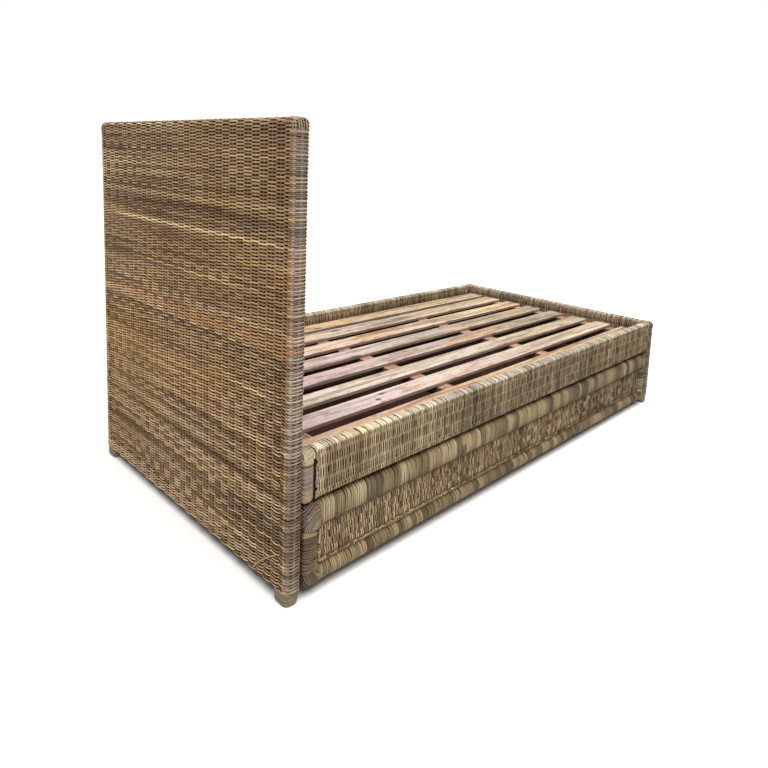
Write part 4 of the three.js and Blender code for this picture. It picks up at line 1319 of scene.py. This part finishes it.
slatTints = {  # head tint, foot tint, stain tint
    "slat_1": ((208, 178, 154), (214, 196, 168), (172, 136, 108)),
    "slat_2": ((214, 197, 196), (210, 194, 172), (160, 130, 124)),
    "slat_3": ((222, 210, 198), (192, 180, 156), (168, 138, 114)),
    "slat_4": ((204, 181, 182), (174, 166, 148), (150, 126, 108)),
    "slat_5": ((206, 188, 186), (172, 162, 146), (146, 124, 100)),
    "slat_6": ((214, 188, 180), (218, 204, 176), (172, 146, 116)),
    "slat_7": ((200, 186, 174), (210, 196, 170), (148, 130, 108)),
    "slat_8": ((188, 160, 134), (198, 178, 152), (150, 124, 98)),
}

for k, (node, (headTint, footTint, stainTint)) in enumerate(slatTints.items()):
    low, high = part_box(node)
    middle = (low.y + high.y) / 2
    paint(node, plankMaterial("timber_" + node, {
        **plankDefaults, "seed": 3.7 * k + 1.3, "headTint": linear(headTint), "footTint": linear(footTint),
        "stainTint": linear(stainTint), "honey": 0.60, "edges": (middle, (high.y - low.y) / 2),
        "knotPlaces": [(-0.54, middle - 0.012), (-0.50, middle + 0.016)] if node == "slat_2" else []}))
bearerWood = plankMaterial("bearerTimber", {
    **plankDefaults, "alongX": False, "seed": 41.0, "headTint": linear((206, 166, 150)),
    "footTint": linear((206, 170, 150)), "albedo": 0.75})
# Dark brown timber, made darker still as painted shade for the deep shade under the bed.
shadedTrundleWood = plankMaterial("shadedTrundleTimber", {
    **plankDefaults, "seed": 57.0, "headTint": linear((120, 84, 66)), "footTint": linear((112, 82, 64)),
    "stainTint": linear((84, 58, 46)), "bleachTint": linear((140, 108, 88)), "albedo": 0.5,
    "sideTint": linear((98, 70, 56))})
boardLook = {
    **plankDefaults, "headTint": linear((124, 90, 66)), "footTint": linear((118, 88, 64)),
    "stainTint": linear((86, 60, 46)), "bleachTint": linear((150, 120, 94)), "sideShade": 0.0, "albedo": 0.6}
boardWood = plankMaterial("boardTimber", {**boardLook, "seed": 71.0})
boardCrossWood = plankMaterial("boardCrossTimber", {**boardLook, "alongX": False, "seed": 83.0})
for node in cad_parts:
    if node.startswith("slat_bearer"):
        paint(node, bearerWood)
    elif node.startswith("trundle_slat"):
        paint(node, shadedTrundleWood)
    elif node.startswith("trundle_bearer") or node.startswith("trundle_end_board"):
        paint(node, boardCrossWood)
    elif node in ("trundle_front_board", "trundle_back_board", "ledger_near", "ledger_far"):
        paint(node, boardWood)
print("timber painted")


# Castors, bolts and the stray strand

bolt = {
    "radius": 0.0072, "height": 0.307, "sideways": 0.506, "steps": 14,
    "profile": [(-0.004, 1.0), (0.0, 1.0), (0.00154, 0.86), (0.0022, 0.45)]}  # how far out, share of the radius
strayCane = {
    "from": (-0.490, 0.120), "to": (-0.395, 0.040), "bow": (0.003, 0.004), "points": 12, "width": 0.0052,
    "thickness": 0.0016, "sink": 0.0002, "tuck": 0.0016}


def steelMaterial(name, bright, dull, metallic):
    made, net = newMaterial(name)
    scuffs = net.noise(net.place() * (220.0, 40.0, 220.0), 3.0, 0.65)
    spots = net.noise(net.place(), 4.0, 0.6, 130.0)
    rust = net.remap(spots, 0.60, 0.74, 0.0, 0.8)
    colour = net.mix(rust, net.mix(scuffs, dull, bright), (0.16, 0.075, 0.035))
    finishMaterial(net, colour, 0.28 + scuffs * 0.25 + rust * 0.3, spots, 0.0002, {
        "Metallic": metallic - rust * metallic})
    return made


def boltMaterial():  # a pale middle in a dark rim; the rim's dark is painted shade
    made, net = newMaterial("boltSteel")
    _, y, z = net.split(net.place())
    away = net.math("SQRT", (abs(y) - bolt["sideways"]) ** 2.0 + (z - bolt["height"]) ** 2.0)
    spots = net.noise(net.place(), 3.0, 0.6, 420.0)
    rimShade = net.mix(spots, (0.035, 0.022, 0.008), (0.125, 0.085, 0.040))
    colour = net.mix(net.remap(away + (spots - 0.5) * 0.002, 0.0036, 0.0022), rimShade, (0.42, 0.33, 0.23))
    finishMaterial(net, colour, 0.55 + spots * 0.3, spots, 0.0004, {"Specular IOR Level": 0.15})
    return made


def tyreMaterial():
    made, net = newMaterial("castorRubber")
    dust = net.noise(net.place(), 3.0, 0.6, 70.0)
    pits = net.noise(net.place(), 2.0, 0.5, 900.0)
    colour = net.mix(net.remap(dust, 0.45, 0.75, 0.0, 0.7), (0.020, 0.019, 0.018), (0.110, 0.095, 0.080))
    finishMaterial(net, colour, 0.55 + dust * 0.3, pits, 0.0002)
    return made


forkSteel = steelMaterial("forkSteel", (0.52, 0.52, 0.53), (0.30, 0.30, 0.31), 0.9)
boltSteel = boltMaterial()
castorRubber = tyreMaterial()
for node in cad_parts:
    if node.startswith("castor_fork"):
        paint(node, forkSteel)
    elif node.startswith("castor_wheel"):
        paint(node, castorRubber)


def boltHead(name, faceX, outwardX, side):  # one of those that hold the side rails
    turn = np.arange(bolt["steps"]) * 2 * math.pi / bolt["steps"]
    rings = []
    for out, wide in bolt["profile"]:
        radius = bolt["radius"] * wide
        rings.append(np.column_stack([
            np.full(len(turn), faceX + outwardX * out), side * bolt["sideways"] + radius * np.cos(turn),
            bolt["height"] + radius * np.sin(turn)]))
    return shell(name, rings, boltSteel)


for panel, index, outwardX in (("headboard", 0, -1), ("footboard", 1, 1)):
    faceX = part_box(panel + "_woven_cover")[index].x
    for side, label in ((-1, "near"), (1, "far")):
        dress(boltHead(f"{panel}_bolt_{label}", faceX, outwardX, side), "bed_frame", "fork_steel")


def strayStrand(name):  # one loose end on the headboard's wall side
    s = strayCane
    share = np.linspace(0.0, 1.0, s["points"])[:, None]
    start, end = np.array(s["from"]), np.array(s["to"])
    places = start + (end - start) * share + np.array(s["bow"]) * np.sin(share * math.pi)
    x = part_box(headCover)[0].x - s["sink"] + s["tuck"] * abs(share[:, 0] * 2 - 1)**4
    line = lineOf(np.column_stack([x, places]), np.tile((-1.0, 0.0, 0.0), (s["points"], 1)), 5)
    return laid(name, [line], s["width"], s["thickness"], stakeCane)


dress(strayStrand("headboard_stray_cane"), "bed_frame", "cane")
print("castors, bolts and stray strand ready")


# Floor, light and camera

stage = {
    "floorSize": 40.0, "floorColour": (0.80, 0.80, 0.795), "cloudColour": (0.82, 0.82, 0.815),
    "skyLight": 0.34, "sunPower": 4.6, "sunAngle": 0.9, "sunFrom": (-0.16, -0.28, 1.0),
    "sunColour": (1.0, 0.985, 0.96)}


def buildStage():
    s = stage["floorSize"]
    mesh = bpy.data.meshes.new("floor")
    mesh.from_pydata([(-s, -s, 0), (s, -s, 0), (s, s, 0), (-s, s, 0)], [], [(0, 1, 2, 3)])
    made, net = newMaterial("paleFloor")
    cloud = net.noise(net.place(), 2.0, 0.5, 0.8)
    colour = net.mix(cloud, stage["floorColour"], stage["cloudColour"])
    finishMaterial(net, colour, 0.9, None, 0.0, {"Specular IOR Level": 0.0})
    mesh.materials.append(made)
    placed("floor", mesh)
    world = bpy.data.worlds.new("softSky")
    bpy.context.scene.world = world
    world.use_nodes = True
    world.node_tree.nodes.clear()
    net = Net(world.node_tree)
    seen = net.add("ShaderNodeLightPath")
    strength = stage["skyLight"] + seen * (1.0 - stage["skyLight"])
    sky = net.add("ShaderNodeBackground", None, {"Color": (1.0, 1.0, 1.0, 1.0), "Strength": strength})
    output = world.node_tree.nodes.new("ShaderNodeOutputWorld")
    world.node_tree.links.new(sky.socket, output.inputs["Surface"])


def buildSun():
    data = bpy.data.lights.new("softSun", "SUN")
    data.energy = stage["sunPower"]
    data.angle = stage["sunAngle"]
    data.color = stage["sunColour"]
    placed("softSun", data).rotation_euler = Vector(stage["sunFrom"]).to_track_quat("Z", "Y").to_euler()


cameraView = {
    "place": (-1.8596, -1.6554, 1.0799),
    "heading": 0.7764,
    "down": 0.1348,
    "roll": 0.04,
    "lens": 29.52,
    "sensor": 36.0,
    "shift": (-0.00945, -0.1813),
}


def buildCamera():
    c = cameraView
    a, e, r = c["heading"], c["down"], c["roll"]
    forward = Vector((math.cos(e) * math.cos(a), math.cos(e) * math.sin(a), -math.sin(e)))
    right = Vector((math.sin(a), -math.cos(a), 0.0))
    up = right.cross(forward)
    rightTurned = math.cos(r) * right + math.sin(r) * up
    upTurned = -math.sin(r) * right + math.cos(r) * up
    data = bpy.data.cameras.new("viewer")
    data.sensor_width = c["sensor"]
    data.lens = c["lens"]
    data.shift_x, data.shift_y = c["shift"]
    camera = placed("viewer", data)
    camera.location = c["place"]
    camera.rotation_euler = Matrix((rightTurned, upTurned, -forward)).transposed().to_euler()
    bpy.context.scene.camera = camera


buildStage()
buildSun()
buildCamera()
bpy.context.scene.view_settings.view_transform = "Standard"
print("stage and camera ready")
